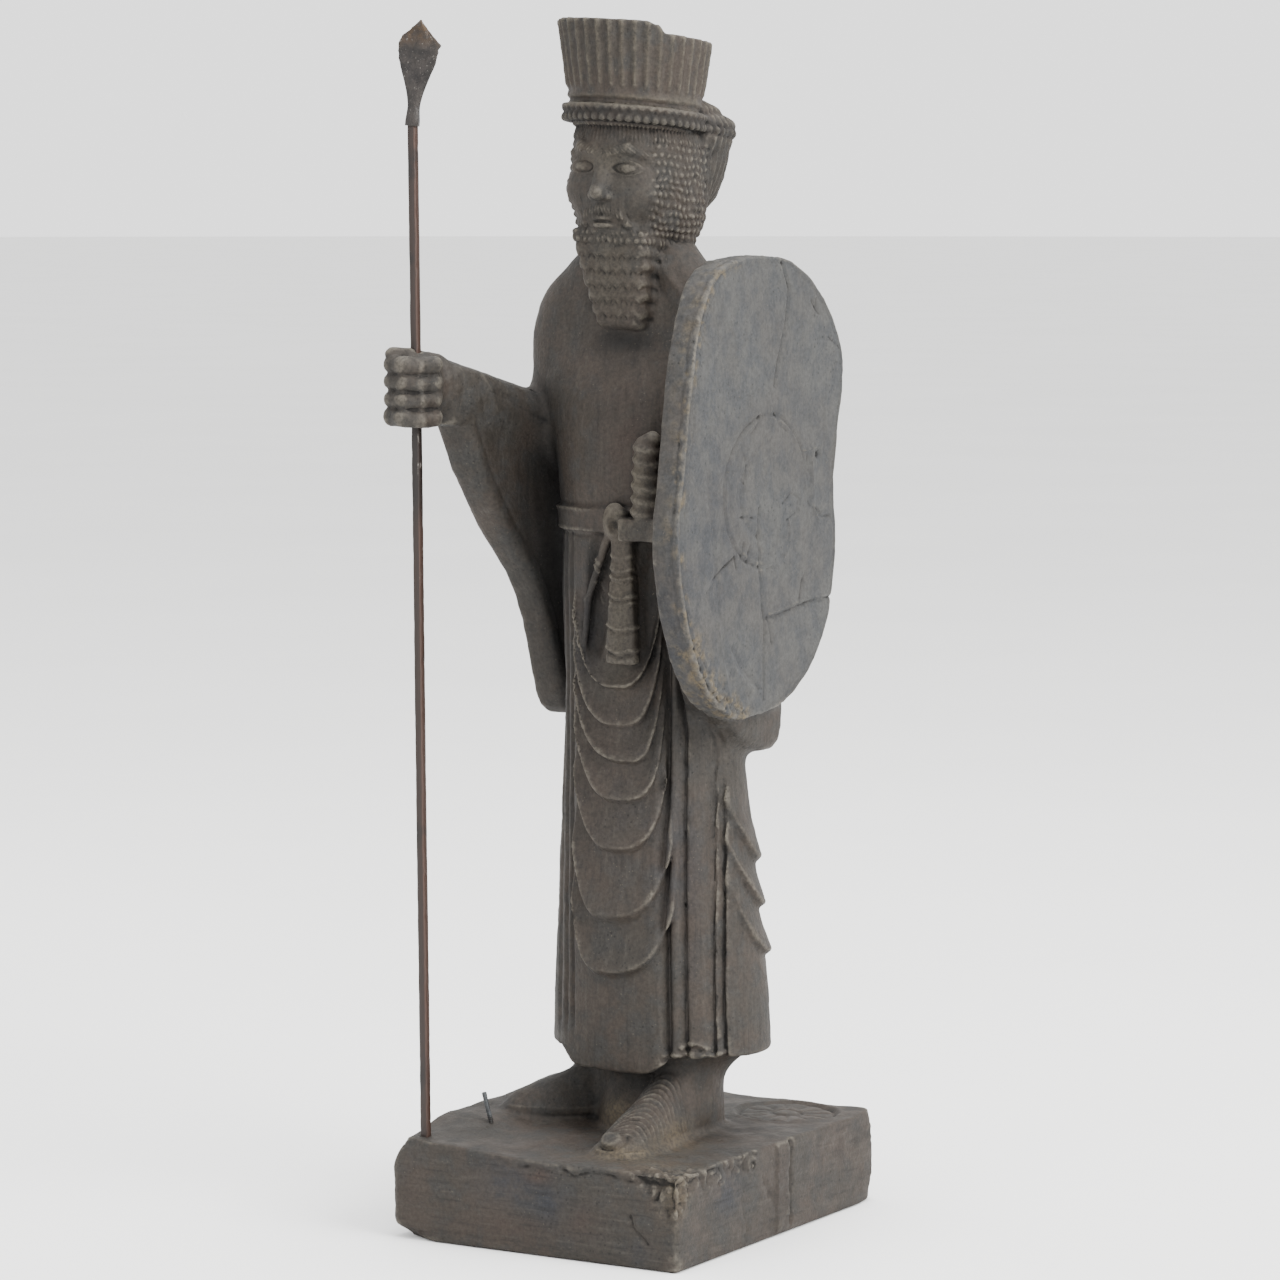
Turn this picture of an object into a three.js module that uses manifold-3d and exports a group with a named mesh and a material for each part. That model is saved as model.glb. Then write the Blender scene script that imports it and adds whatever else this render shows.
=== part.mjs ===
// A small standing guard figure in an ancient Persian court robe, cast in one
// with its plinth, with a loose spear through its right fist.
// Millimetres, +Z up, origin at the centre of the plinth's underside.
// The figure faces -Y, its left side is +X.
import * as THREE from 'three';
import Module from 'manifold-3d';

// ------------------------------------------------------------------ sizes
const PLINTH_X = 137.6, PLINTH_Y = 171.2, PLINTH_H = 39.0;   // sides and height of the plinth
const PLINTH_RISE = 3.0;            // the top is higher towards the figure's right
const HEM_Z = 70.0;                 // lower edge of the robe
const HAT_TOP = 500.0;              // top rim of the hat
const HAT_R = 27.0, HAT_FLARE = 0.142, HAT_FLUTES = 36;
const BAND_R = 30.6;                // projecting headband of curls
const HEAD_X = -2.3, HEAD_Y = 0.6;  // head axis
const SHIELD_FACE_X = 62.0, SHIELD_THICK = 12.5;
const SHAFT_SIDE = 3.4;             // square rod
const SHAFT_GAP = 0.3;              // free space round the rod in the fist and the plinth
const SHAFT_FOOT = [-57.6, -76.0, 40.6], SHAFT_TOP = [-61.9, -76.0, 461.0];
const BLADE_H = 41.0, BLADE_W = 18.4, BLADE_T = 1.8, BLADE_TURN = 20, BLADE_LEAN = 5.5;
const PIN_R = 1.05;
const GRID = 2.5;                   // sampling step of the cast form
const STATUE_FACES = 8600;          // triangles kept for the casting
const PATINA = 0x585048, COPPER = 0x5a3a2e, IRON = 0x45413d, WIRE = 0x6f7479;

// robe and torso: z, centre x, centre y, half width, half depth
const BODY_ROWS = [
  [60, 8.3, 6, 48.5, 37], [72, 8.5, 5.5, 48.5, 37.5], [100, 8.3, 5, 47.5, 37], [135, 7.6, 4, 44.2, 36],
  [178, 6.8, 3, 40.8, 34.3], [225, 5.2, 2, 37.6, 32], [265, 3.5, 1, 37, 29.5], [295, 2, 0, 35.5, 27.5],
  [330, 1, -0.5, 38, 27.5], [358, -0.5, 0, 43.5, 28.5], [375, -0.8, 0.5, 45, 28], [390, -0.8, 1.2, 40.5, 25],
  [400, -1, 2, 33.5, 22.5], [409, -1, 3.5, 25, 20], [416, -1, 5, 19, 17]];
// heights of the low rims of the hanging folds, and where the front ones are centred (z, angle)
const FRONT_RIMS = [236.5, 227.5, 210.4, 196.3, 179.5, 158.5, 128.5, 106.4];
const FRONT_CENTRE = [[100, -5.8], [106, -5.8], [128, -5.2], [158, 1], [179, 5.5], [196, 11], [210, 8], [227, 4], [300, 3]];
const SIDE_RIMS = [250, 222, 196, 173, 152, 133, 113];
// the shield's outline in (y, z)
const SHIELD = [[-2.8, 406.4], [14, 405.6], [27.4, 401.6], [49.5, 388.2], [63.2, 370.6], [66.4, 357.5], [63.0, 336.5],
  [58.4, 313.5], [60.6, 294.4], [60.4, 277.5], [54.6, 256.1], [42, 238], [24.3, 224.7], [6.8, 219], [-10, 217.6],
  [-27.4, 218.4], [-48.3, 230.4], [-60, 246.8], [-68, 265.8], [-72, 286.4], [-72, 302.4], [-69, 318.4], [-65.8, 338.3],
  [-62.7, 358.1], [-57.9, 374.3], [-50.5, 390.6], [-39, 401.8], [-20, 405.9]];
// the right sleeve's outline in (y, z)
const SLEEVE = [[-64, 360], [-47, 358], [-24, 348], [-6, 338], [10, 332], [16, 300], [16, 225], [10, 212.5], [1, 215],
  [-4, 230], [-7, 251.7], [-14, 272.7], [-29, 291.6], [-45, 316.7], [-54, 336], [-62, 337]];
// the left sleeve's outline in (y, z), behind the shield
const LEFT_SLEEVE = [[-34, 300], [16, 340], [28, 320], [31, 240], [31, 209], [23, 200], [6, 203], [-16, 216], [-34, 236]];

// ------------------------------------------------------------------ helpers
const { abs, sqrt, min, max, exp, cos, sin, floor, PI } = Math;
const clamp = (v, a = 0, b = 1) => (v < a ? a : v > b ? b : v);
const smooth = (a, b, v) => { const t = clamp((v - a) / (b - a)); return t * t * (3 - 2 * t); };
const smin = (a, b, k) => { const h = clamp(0.5 + 0.5 * (b - a) / k); return b + (a - b) * h - k * h * (1 - h); };
const smax = (a, b, k) => -smin(-a, -b, k);
const len = (...c) => sqrt(c.reduce((s, q) => s + q * q, 0));
const deg = PI / 180;

function spline(rows) {                       // smooth interpolation of rows [t, v1, v2, ...]
  const n = rows.length, w = rows[0].length;
  const m = rows.map((r, i) => {
    const a = rows[max(0, i - 1)], b = rows[min(n - 1, i + 1)];
    return r.map((_, k) => (b[k] - a[k]) / (b[0] - a[0]));
  });
  return (t) => {
    t = clamp(t, rows[0][0], rows[n - 1][0]);
    let i = 0;
    while (i < n - 2 && t >= rows[i + 1][0]) i += 1;
    const h = rows[i + 1][0] - rows[i][0], u = (t - rows[i][0]) / h, u2 = u * u, u3 = u2 * u, out = [];
    for (let k = 1; k < w; k += 1) {
      out.push((2 * u3 - 3 * u2 + 1) * rows[i][k] + (u3 - 2 * u2 + u) * h * m[i][k]
        + (-2 * u3 + 3 * u2) * rows[i + 1][k] + (u3 - u2) * h * m[i + 1][k]);
    }
    return out;
  };
}
function linear(x, xs, ys, left, right) {
  if (x < xs[0]) return left;
  if (x > xs[xs.length - 1]) return right;
  let i = 0;
  while (i < xs.length - 2 && x >= xs[i + 1]) i += 1;
  return ys[i] + (ys[i + 1] - ys[i]) * (x - xs[i]) / (xs[i + 1] - xs[i]);
}
function ellipse(X, Y, a, b) {
  const qx = X / a, qy = Y / b, q = sqrt(qx * qx + qy * qy) + 1e-6;
  return q * (q - 1) / (sqrt((qx / a) ** 2 + (qy / b) ** 2) + 1e-6);
}
function ellipsoid(X, Y, Z, a, b, c) {
  const qx = X / a, qy = Y / b, qz = Z / c, q = sqrt(qx * qx + qy * qy + qz * qz) + 1e-6;
  return q * (q - 1) / (sqrt((qx / a) ** 2 + (qy / b) ** 2 + (qz / c) ** 2) + 1e-6);
}
function limb(x, y, z, A, B, ra, rb = ra) {   // tapered round limb from A to B
  const d = [B[0] - A[0], B[1] - A[1], B[2] - A[2]], L = d[0] ** 2 + d[1] ** 2 + d[2] ** 2;
  const t = clamp(((x - A[0]) * d[0] + (y - A[1]) * d[1] + (z - A[2]) * d[2]) / L);
  return sqrt((x - A[0] - d[0] * t) ** 2 + (y - A[1] - d[1] * t) ** 2 + (z - A[2] - d[2] * t) ** 2) - (ra + (rb - ra) * t);
}
function block(X, Y, Z, a, b, c, r = 0) {     // rounded block
  const dx = abs(X) - (a - r), dy = abs(Y) - (b - r), dz = abs(Z) - (c - r);
  return sqrt(max(dx, 0) ** 2 + max(dy, 0) ** 2 + max(dz, 0) ** 2) + min(max(dx, dy, dz), 0) - r;
}
function outline(px, py, V) {                 // signed distance to a closed outline
  let d = 1e9, s = 1, j = V.length - 1;
  for (let i = 0; i < V.length; i += 1) {
    const ex = V[j][0] - V[i][0], ey = V[j][1] - V[i][1], wx = px - V[i][0], wy = py - V[i][1];
    const t = clamp((wx * ex + wy * ey) / (ex * ex + ey * ey));
    d = min(d, (wx - ex * t) ** 2 + (wy - ey * t) ** 2);
    const c1 = py >= V[i][1], c2 = py < V[j][1], c3 = ex * wy > ey * wx;
    if ((c1 && c2 && c3) || (!c1 && !c2 && !c3)) s = -s;
    j = i;
  }
  return s * sqrt(d);
}

// ------------------------------------------------------------------ the cast form
const body = spline(BODY_ROWS), frontCentre = spline(FRONT_CENTRE);

function hangingFolds(al, z, centre, wl, wr, hl, hr, rims, amp) {
  const left = al < centre, t = left ? (centre - al) / wl : (al - centre) / wr;
  const zeta = z - (left ? hl : hr) * (abs(t) + 1e-4) ** 2.2;
  const n = rims.length, ph = linear(-zeta, rims.map((q) => -q), rims.map((_, i) => i), -1, n);
  if (ph < 0 || ph >= n - 1) return 0;
  const fr = ph - floor(ph);
  return amp * smooth(0, 0.9, fr) * smooth(1, 0.93, fr) * smooth(1.12, 0.9, t);
}
function robeRelief(al, x, y, z) {            // folds and pleats, mm outwards
  const k = (z - 100) / 124, low = smooth(296, 284, z) * smooth(60, 70, z);
  let d = hangingFolds(al, z, frontCentre(z)[0], 22, 27, 25, 20, FRONT_RIMS, 2.3);
  const hh = linear(z, [115, 140], [33, 50], 33, 50);
  d += hangingFolds(al, z, 115, 56, 50, hh, hh, SIDE_RIMS, 3.0);
  d += hangingFolds(-al, z, 115, 56, 50, hh, hh, SIDE_RIMS, 2.4);
  d *= low;
  if (y < 12) {
    const cut = smooth(69, 76, z) * smooth(286, 270, z);
    const g = [[29.7 - 2.6 * k, 1.5, 2.6], [36.4 - 3.3 * k, 1.3, 1.9], [45.3 - 4.7 * k, 1.1, 2.2], [48.2 - 5.5 * k, 1.1, 1.9]];
    for (const [xc, w, dep] of g) d -= dep * exp(-(((x - xc) / w) ** 2)) * cut;
    for (const [xc, w, dep] of [[-20.3, 1.1, 1.3], [-15.9, 1.0, 1.3], [-25.5, 1.4, 1.0]]) {
      d -= dep * exp(-(((x - (xc - 2 * k)) / w) ** 2)) * smooth(78, 90, z) * smooth(296, 288, z);
    }
  }
  d += 1.1 * sin(al * 14 * deg) * smooth(160, 166, abs(al)) * smooth(70, 84, z);
  return d * smooth(292, 283, z);
}
function head(x, y, z) {
  const zb = z + 0.047 * (x - HEAD_X) + 0.091 * (y - HEAD_Y);   // tipped back
  const X = x - HEAD_X, Y = y - HEAD_Y - 0.02 * (z - 430);
  let f = smin(ellipsoid(X, Y + 2, zb - 432, 24.5, 25.5, 34), ellipsoid(X, Y - 3, zb - 448, 26.5, 28, 30), 6);
  f = smin(f, smax(smax(ellipse(X, Y - 5, 16.5, 15.5), z - 440, 4), 395 - z, 4), 5);
  const k = clamp((zb - 374) / 40), yf = -21 - k, yb = -4 + 4 * k;
  let beard = block(X, Y - (yf + yb) / 2, zb - 395, 10.5 + 8 * k, (yb - yf) / 2, 20.5, 4.5);
  beard -= 0.55 * cos((z - 373) * 2 * PI / 6.3 + 0.35 * sin(X * 1.3));
  f = smin(f, beard * 0.9, 3);
  const bun = smin(ellipsoid(X, Y - 31, z - 446, 27.5, 16.5, 23), ellipsoid(X, Y - 26, z - 430, 20, 14, 18), 6);
  f = smin(f, bun, 3.5);
  f = smin(f, ellipsoid(abs(X) - 22, Y - 6, z - 434, 5, 14, 24), 4);
  f = smin(f, limb(X, Y, zb, [0, -23.5, 443], [0, -30, 427.5], 2.6, 4.3), 3.5);
  f = smin(f, limb(abs(X), Y, zb, [4, -25, 447.5], [18, -19, 447], 2.2, 1.6), 3);
  f = smin(f, ellipsoid(abs(X) - 10.5, Y + 21.5, zb - 440.5, 6.6, 4.4, 3.4), 0.8);
  const R = sqrt(X * X + Y * Y), flute = 0.75 * cos(Math.atan2(X, -Y) * HAT_FLUTES) * smooth(472, 476, zb);
  f = smin(f, smax(R - BAND_R, abs(zb - 462.6) - 3.6, 1.4), 1.2);
  const chip = 3.2 * smooth(8, 14, 0.86 * X + 0.51 * Y);
  let hat = R - (HAT_R + (zb - 468) * HAT_FLARE + flute);
  hat = smax(smax(hat, zb - (HAT_TOP + 0.8 - chip), 1.2), 458 - zb, 1);
  f = smin(f, hat, 0.8);
  return smin(f, smax(R - HAT_R - 0.6, abs(zb - 469.3) - 2.6, 1), 0.8);
}
function rightArm(x, y, z) {
  let f = smin(limb(x, y, z, [-33, 4, 380], [-41, 7, 345], 14, 13.5), limb(x, y, z, [-46, 0, 333], [-61, -60, 352], 12.5, 9.5), 8);
  const xc = -48.5 + 0.20 * y + 0.02 * (z - 300) + 6 * smooth(290, 220, z), th = 7 + 1.5 * smooth(240, 330, z);
  f = smin(f, smax(outline(y, z, SLEEVE), abs(x - xc) - th, 5), 6);
  return f;
}
function fist(x, y, z) {
  let f = block(x + 61.5, y + 74.5, z - 352, 7.5, 9.5, 14, 5);
  for (let i = 0; i < 4; i += 1) {
    const zf = 341.5 + 7.1 * i;
    const p = [[-68, -77, zf], [-66, -85, zf - 0.3], [-60, -86.8, zf - 0.8], [-55, -82.5, zf - 1.2], [-53, -75, zf - 1]];
    for (let j = 0; j < 4; j += 1) f = smin(f, limb(x, y, z, p[j], p[j + 1], 3.7), 1.2);
  }
  f = smin(f, limb(x, y, z, [-58, -64, 362], [-62, -77, 365.5], 4, 3.4), 1.5);
  f = smin(f, limb(x, y, z, [-62, -77, 365.5], [-67, -84, 366.5], 3.4, 2.9), 1.5);
  return smin(f, limb(x, y, z, [-61, -56, 352], [-62, -70, 353], 9.8, 10.2), 4);
}
function leftSide(x, y, z) {
  let f = smin(limb(x, y, z, [33, 4, 380], [47, 8, 330], 14), limb(x, y, z, [44, 8, 330], [46, -20, 300], 13, 11), 8);
  f = smin(f, smax(outline(y, z, LEFT_SLEEVE), abs(x - 44.5) - 8.5, 5), 6);
  return f;
}
function shield(x, y, z) {
  const xf = SHIELD_FACE_X - 0.00012 * (y * y + (z - 310) ** 2 * 0.3);
  return smax(outline(y, z, SHIELD), max(x - xf, xf - SHIELD_THICK - x), 1.2);
}
function belt(x, y, z, robe) {
  let f = smax(smax(robe - 1.3, abs(z - 297.3) - 4.6, 1), y - 30, 1);
  f = smin(f, ellipsoid(x - 1.5, y + 29, z - 296.5, 4.6, 4.2, 8.6), 1);
  f = smin(f, block(x - 4.6 - 0.02 * (290 - z), y + 29.5 + 0.03 * (290 - z), z - 266, 5.8, 2.6, 26, 1.5), 1.2);
  const grip = limb(x, y, z, [20.5, -31.5, 302], [21.5, -32.5, 328], 5.2, 5) - 0.5 * cos((z - 301) * 2 * PI / 5.2);
  f = smin(f, grip, 1);
  return smin(f, block(x - 16.5, y + 30.5, z - 294, 9, 5, 5, 1.2), 0.8);
}
function plinth(x, y, z) {
  let top = PLINTH_H + PLINTH_RISE * smooth(10, -60, x);
  top += (3.5 * smooth(-30, -52, x) * smooth(-75, -40, y) + 8 * exp(-(((x + 42) / 26) ** 2 + ((y - 48) / 30) ** 2)))
    * smooth(-90, -40, y) * smooth(85, 70, y);
  const rc = x < 0 && y < 0 ? 6 : 3, dx = abs(x) - (PLINTH_X / 2 - rc), dy = abs(y) - (PLINTH_Y / 2 - rc);
  const side = sqrt(max(dx, 0) ** 2 + max(dy, 0) ** 2) + min(max(dx, dy), 0) - rc;
  return smax(side, z - top, 1.6);
}
function statue(x, y, z) {
  const [cx, cy, a, b] = body(z), X = x - cx, Y = y - cy;
  const al = Math.atan2(X / a, -Y / b) / deg;
  let robe = ellipse(X, Y, a, b) * 0.92 - robeRelief(al, x, y, z);
  const hem = HEM_Z + 2.5 * smooth(-12, -34, x) - 1.2 * cos(al * 3 * deg);
  robe = smax(smax(robe, hem - z, 2), z - 414, 4);
  let f = smin(robe, smax(ellipse(x - 5, y - 12, 31.5, 30), z - 82, 3), 3);
  for (const [hx, hy, tx, ty, tz] of [[24, -6, 22, -53, 45], [-26, 12, -34, -34, 45.5]]) {
    const foot = limb(x, y, (z - 40) * 0.9 + 40, [hx, hy, 50], [tx, ty, tz - 1.5], 11, 8.2);
    f = smin(f, smin(foot, limb(x, y, z, [hx - 1, hy + 4, 52], [hx - 2, hy + 12, 84], 12, 17), 8), 5);
  }
  f = smin(f, plinth(x, y, z), 3);
  if (z > 340) f = smin(f, head(x, y, z), 2);
  f = smin(f, rightArm(x, y, z), 9);
  f = smin(f, fist(x, y, z), 3);
  f = smin(f, leftSide(x, y, z), 7);
  f = smin(f, shield(x, y, z), 1.5);
  return max(smin(f, belt(x, y, z, robe), 1.2), -5 - z);
}

// ------------------------------------------------------------------ surface of the form
function surfaceOf(field, lo, hi, h) {        // closed triangle surface through a sampled field
  const n = [0, 1, 2].map((k) => Math.ceil((hi[k] - lo[k]) / h) + 1), sy = n[2], sx = n[1] * n[2];
  const F = new Float32Array(n[0] * sx);
  const B = 5, reach = B * h * 0.87 * 1.4 + 2;   // blocks far from the surface take their centre's value
  for (let bi = 0; bi < n[0]; bi += B) for (let bj = 0; bj < n[1]; bj += B) for (let bk = 0; bk < n[2]; bk += B) {
    const mid = field(lo[0] + (bi + (B - 1) / 2) * h, lo[1] + (bj + (B - 1) / 2) * h, lo[2] + (bk + (B - 1) / 2) * h), far = abs(mid) > reach;
    for (let i = bi; i < min(bi + B, n[0]); i += 1) for (let j = bj; j < min(bj + B, n[1]); j += 1) for (let k = bk; k < min(bk + B, n[2]); k += 1) {
      const v = far ? mid : field(lo[0] + i * h, lo[1] + j * h, lo[2] + k * h);
      F[i * sx + j * sy + k] = abs(v) < 0.03 ? (v < 0 ? -0.03 : 0.03) : v;
    }
  }
  // every cube is cut into six tetrahedra round its long diagonal
  const off = [0, 1, 2, 3, 4, 5, 6, 7].map((c) => (c & 1 ? sx : 0) + (c & 2 ? sy : 0) + (c & 4 ? 1 : 0));
  const tets = [[0, 1, 3, 7], [0, 3, 2, 7], [0, 2, 6, 7], [0, 6, 4, 7], [0, 4, 5, 7], [0, 5, 1, 7]];
  const verts = [], tris = [], made = new Map();
  const point = (a, b) => {
    if (a > b) [a, b] = [b, a];
    const key = a * 8 + [sx, sy, 1, sx + sy, sx + 1, sy + 1, sx + sy + 1].indexOf(b - a);
    let v = made.get(key);
    if (v === undefined) {
      const t = F[a] / (F[a] - F[b]), g = (o) => [floor(o / sx), floor((o % sx) / sy), o % sy], A = g(a), B = g(b);
      v = verts.length / 3; made.set(key, v);
      for (let q = 0; q < 3; q += 1) verts.push(lo[q] + (A[q] + t * (B[q] - A[q])) * h);
    }
    return v;
  };
  for (let i = 0; i < n[0] - 1; i += 1) for (let j = 0; j < n[1] - 1; j += 1) for (let k = 0; k < n[2] - 1; k += 1) {
    const o = i * sx + j * sy + k;
    let c = 0; for (let a = 0; a < 8; a += 1) if (F[o + off[a]] < 0) c += 1;
    if (c === 0 || c === 8) continue;
    for (const tet of tets) {
      const p = tet.map((q) => o + off[q]), ins = p.filter((q) => F[q] < 0), out = p.filter((q) => F[q] >= 0);
      if (!ins.length || !out.length) continue;
      // orientation of the tetrahedron as listed: p0 p1 p2 p3 is right-handed for even order
      const order = [...ins, ...out].map((q) => p.indexOf(q));
      let even = true;
      for (let a = 0; a < 4; a += 1) for (let b = a + 1; b < 4; b += 1) if (order[a] > order[b]) even = !even;
      let q;
      if (ins.length === 1) q = [[point(ins[0], out[0]), point(ins[0], out[1]), point(ins[0], out[2])]];
      else if (ins.length === 3) q = [[point(ins[0], out[0]), point(ins[1], out[0]), point(ins[2], out[0])]];
      else {
        const a = point(ins[0], out[0]), b = point(ins[0], out[1]), d = point(ins[1], out[1]), e = point(ins[1], out[0]);
        q = [[a, b, d], [a, d, e]];
      }
      for (const t of q) if (even) tris.push(t[0], t[1], t[2]); else tris.push(t[0], t[2], t[1]);
    }
  }
  let vol = 0;
  for (let t = 0; t < tris.length; t += 3) {
    const [a, b, c] = [tris[t] * 3, tris[t + 1] * 3, tris[t + 2] * 3];
    vol += verts[a] * (verts[b + 1] * verts[c + 2] - verts[b + 2] * verts[c + 1]) - verts[a + 1] * (verts[b] * verts[c + 2] - verts[b + 2] * verts[c])
      + verts[a + 2] * (verts[b] * verts[c + 1] - verts[b + 1] * verts[c]);
  }
  if (vol < 0) for (let t = 0; t < tris.length; t += 3) [tris[t + 1], tris[t + 2]] = [tris[t + 2], tris[t + 1]];
  return { verts: Float64Array.from(verts), tris: Int32Array.from(tris) };
}

function simplify({ verts, tris }, target) {  // edge collapse by quadric error, keeps the surface closed
  const nv = verts.length / 3, nf = tris.length / 3, Q = new Float64Array(nv * 10), P = verts;
  const faces = Array.from({ length: nv }, () => new Set()), dead = new Uint8Array(nf), gone = new Uint8Array(nv), ver = new Int32Array(nv);
  const normal = (a, b, c) => {
    const ux = P[b * 3] - P[a * 3], uy = P[b * 3 + 1] - P[a * 3 + 1], uz = P[b * 3 + 2] - P[a * 3 + 2];
    const vx = P[c * 3] - P[a * 3], vy = P[c * 3 + 1] - P[a * 3 + 1], vz = P[c * 3 + 2] - P[a * 3 + 2];
    return [uy * vz - uz * vy, uz * vx - ux * vz, ux * vy - uy * vx];
  };
  for (let f = 0; f < nf; f += 1) {
    const t = [tris[f * 3], tris[f * 3 + 1], tris[f * 3 + 2]];
    const N = normal(...t), l = len(...N) || 1, [a, b, c] = N.map((q) => q / l), w = l / 2;
    const d = -(a * P[t[0] * 3] + b * P[t[0] * 3 + 1] + c * P[t[0] * 3 + 2]);
    const q = [a * a, a * b, a * c, a * d, b * b, b * c, b * d, c * c, c * d, d * d];
    for (const v of t) { faces[v].add(f); for (let i = 0; i < 10; i += 1) Q[v * 10 + i] += q[i] * w; }
  }
  const cost = (q, x, y, z) => q[0] * x * x + 2 * q[1] * x * y + 2 * q[2] * x * z + 2 * q[3] * x + q[4] * y * y
    + 2 * q[5] * y * z + 2 * q[6] * y + q[7] * z * z + 2 * q[8] * z + q[9];
  const heap = [];
  const up = (e) => {
    let i = heap.length; heap.push(e);
    while (i > 0) { const p = (i - 1) >> 1; if (heap[p].c <= e.c) break; heap[i] = heap[p]; i = p; } heap[i] = e;
  };
  const pop = () => {
    const top = heap[0], e = heap.pop(), n = heap.length; if (!n) return top;
    let i = 0;
    for (;;) { let c = 2 * i + 1; if (c >= n) break; if (c + 1 < n && heap[c + 1].c < heap[c].c) c += 1; if (heap[c].c >= e.c) break; heap[i] = heap[c]; i = c; }
    heap[i] = e; return top;
  };
  const plan = (a, b) => {
    const q = new Array(10);
    for (let i = 0; i < 10; i += 1) q[i] = Q[a * 10 + i] + Q[b * 10 + i];
    const m = [(P[a * 3] + P[b * 3]) / 2, (P[a * 3 + 1] + P[b * 3 + 1]) / 2, (P[a * 3 + 2] + P[b * 3 + 2]) / 2];
    const det = q[0] * (q[4] * q[7] - q[5] * q[5]) - q[1] * (q[1] * q[7] - q[5] * q[2]) + q[2] * (q[1] * q[5] - q[4] * q[2]);
    const tr = q[0] + q[4] + q[7];
    let best = m, c = cost(q, ...m);
    if (abs(det) > 1e-4 * tr * tr * tr) {
      const s = [-q[3], -q[6], -q[8]];
      const x = (s[0] * (q[4] * q[7] - q[5] * q[5]) - q[1] * (s[1] * q[7] - q[5] * s[2]) + q[2] * (s[1] * q[5] - q[4] * s[2])) / det;
      const y = (q[0] * (s[1] * q[7] - q[5] * s[2]) - s[0] * (q[1] * q[7] - q[5] * q[2]) + q[2] * (q[1] * s[2] - s[1] * q[2])) / det;
      const z = (q[0] * (q[4] * s[2] - s[1] * q[5]) - q[1] * (q[1] * s[2] - s[1] * q[2]) + s[0] * (q[1] * q[5] - q[4] * q[2])) / det;
      const far = len(x - m[0], y - m[1], z - m[2]), e = len(P[a * 3] - P[b * 3], P[a * 3 + 1] - P[b * 3 + 1], P[a * 3 + 2] - P[b * 3 + 2]);
      if (far < 2 * e) { best = [x, y, z]; c = cost(q, x, y, z); }
    }
    up({ c: max(c, 0) + 1e-9 * len(P[a * 3] - P[b * 3], P[a * 3 + 1] - P[b * 3 + 1], P[a * 3 + 2] - P[b * 3 + 2]), a, b, va: ver[a], vb: ver[b], p: best });
  };
  const ring = (v) => { const s = new Set(); for (const f of faces[v]) for (let i = 0; i < 3; i += 1) { const w = tris[f * 3 + i]; if (w !== v) s.add(w); } return s; };
  for (let v = 0; v < nv; v += 1) for (const w of ring(v)) if (w > v) plan(v, w);
  let live = nf;
  while (live > target && heap.length) {
    const e = pop(), { a, b, p } = e;
    if (gone[a] || gone[b] || ver[a] !== e.va || ver[b] !== e.vb) continue;
    const ra = ring(a), rb = ring(b); let shared = 0;
    for (const w of ra) if (rb.has(w)) shared += 1;
    if (shared !== 2 || ra.size + rb.size > 26) continue;
    let ok = true;
    for (const v of [a, b]) {
      for (const f of faces[v]) {
        const t = [tris[f * 3], tris[f * 3 + 1], tris[f * 3 + 2]];
        if (t.includes(a) && t.includes(b)) continue;
        const N0 = normal(...t), keep = [P[v * 3], P[v * 3 + 1], P[v * 3 + 2]];
        P[v * 3] = p[0]; P[v * 3 + 1] = p[1]; P[v * 3 + 2] = p[2];
        const N1 = normal(...t);
        P[v * 3] = keep[0]; P[v * 3 + 1] = keep[1]; P[v * 3 + 2] = keep[2];
        const l0 = len(...N0), l1 = len(...N1);
        if (l1 < 0.02 || (N0[0] * N1[0] + N0[1] * N1[1] + N0[2] * N1[2]) < 0.35 * l0 * l1) { ok = false; break; }
      }
      if (!ok) break;
    }
    if (!ok) continue;
    for (const f of [...faces[b]]) {
      const t = [tris[f * 3], tris[f * 3 + 1], tris[f * 3 + 2]];
      if (t.includes(a)) { dead[f] = 1; live -= 1; for (const w of t) faces[w].delete(f); continue; }
      for (let i = 0; i < 3; i += 1) if (tris[f * 3 + i] === b) tris[f * 3 + i] = a;
      faces[a].add(f);
    }
    gone[b] = 1; ver[a] += 1;
    P[a * 3] = p[0]; P[a * 3 + 1] = p[1]; P[a * 3 + 2] = p[2];
    for (let i = 0; i < 10; i += 1) Q[a * 10 + i] += Q[b * 10 + i];
    for (const w of ring(a)) plan(a, w);
  }
  const map = new Int32Array(nv).fill(-1), V = [], T = [];
  for (let f = 0; f < nf; f += 1) {
    if (dead[f]) continue;
    for (let i = 0; i < 3; i += 1) {
      const v = tris[f * 3 + i];
      if (map[v] < 0) { map[v] = V.length / 3; V.push(P[v * 3], P[v * 3 + 1], P[v * 3 + 2]); }
      T.push(map[v]);
    }
  }
  return { verts: V, tris: T };
}

// ------------------------------------------------------------------ solids
const wasm = await Module();
wasm.setup();
const { mergeVertices } = await import('three/addons/utils/BufferGeometryUtils.js');

const solidFrom = (verts, tris) => new wasm.Manifold(new wasm.Mesh({ numProp: 3, vertProperties: Float32Array.from(verts), triVerts: Uint32Array.from(tris) }));
function solidOf(geometry) {
  const g = geometry.clone();
  g.deleteAttribute('normal'); g.deleteAttribute('uv');
  const m = mergeVertices(g, 1e-4);
  return solidFrom(m.attributes.position.array, m.index.array);
}
function geometryOf(solid) {
  const m = solid.getMesh(), g = new THREE.BufferGeometry();
  const pos = new Float32Array(m.numVert * 3);
  for (let i = 0; i < m.numVert; i += 1) for (let k = 0; k < 3; k += 1) pos[i * 3 + k] = m.vertProperties[i * m.numProp + k];
  g.setAttribute('position', new THREE.BufferAttribute(pos, 3));
  g.setIndex(new THREE.BufferAttribute(Uint32Array.from(m.triVerts), 1));
  g.computeVertexNormals();
  return g;
}

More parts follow.
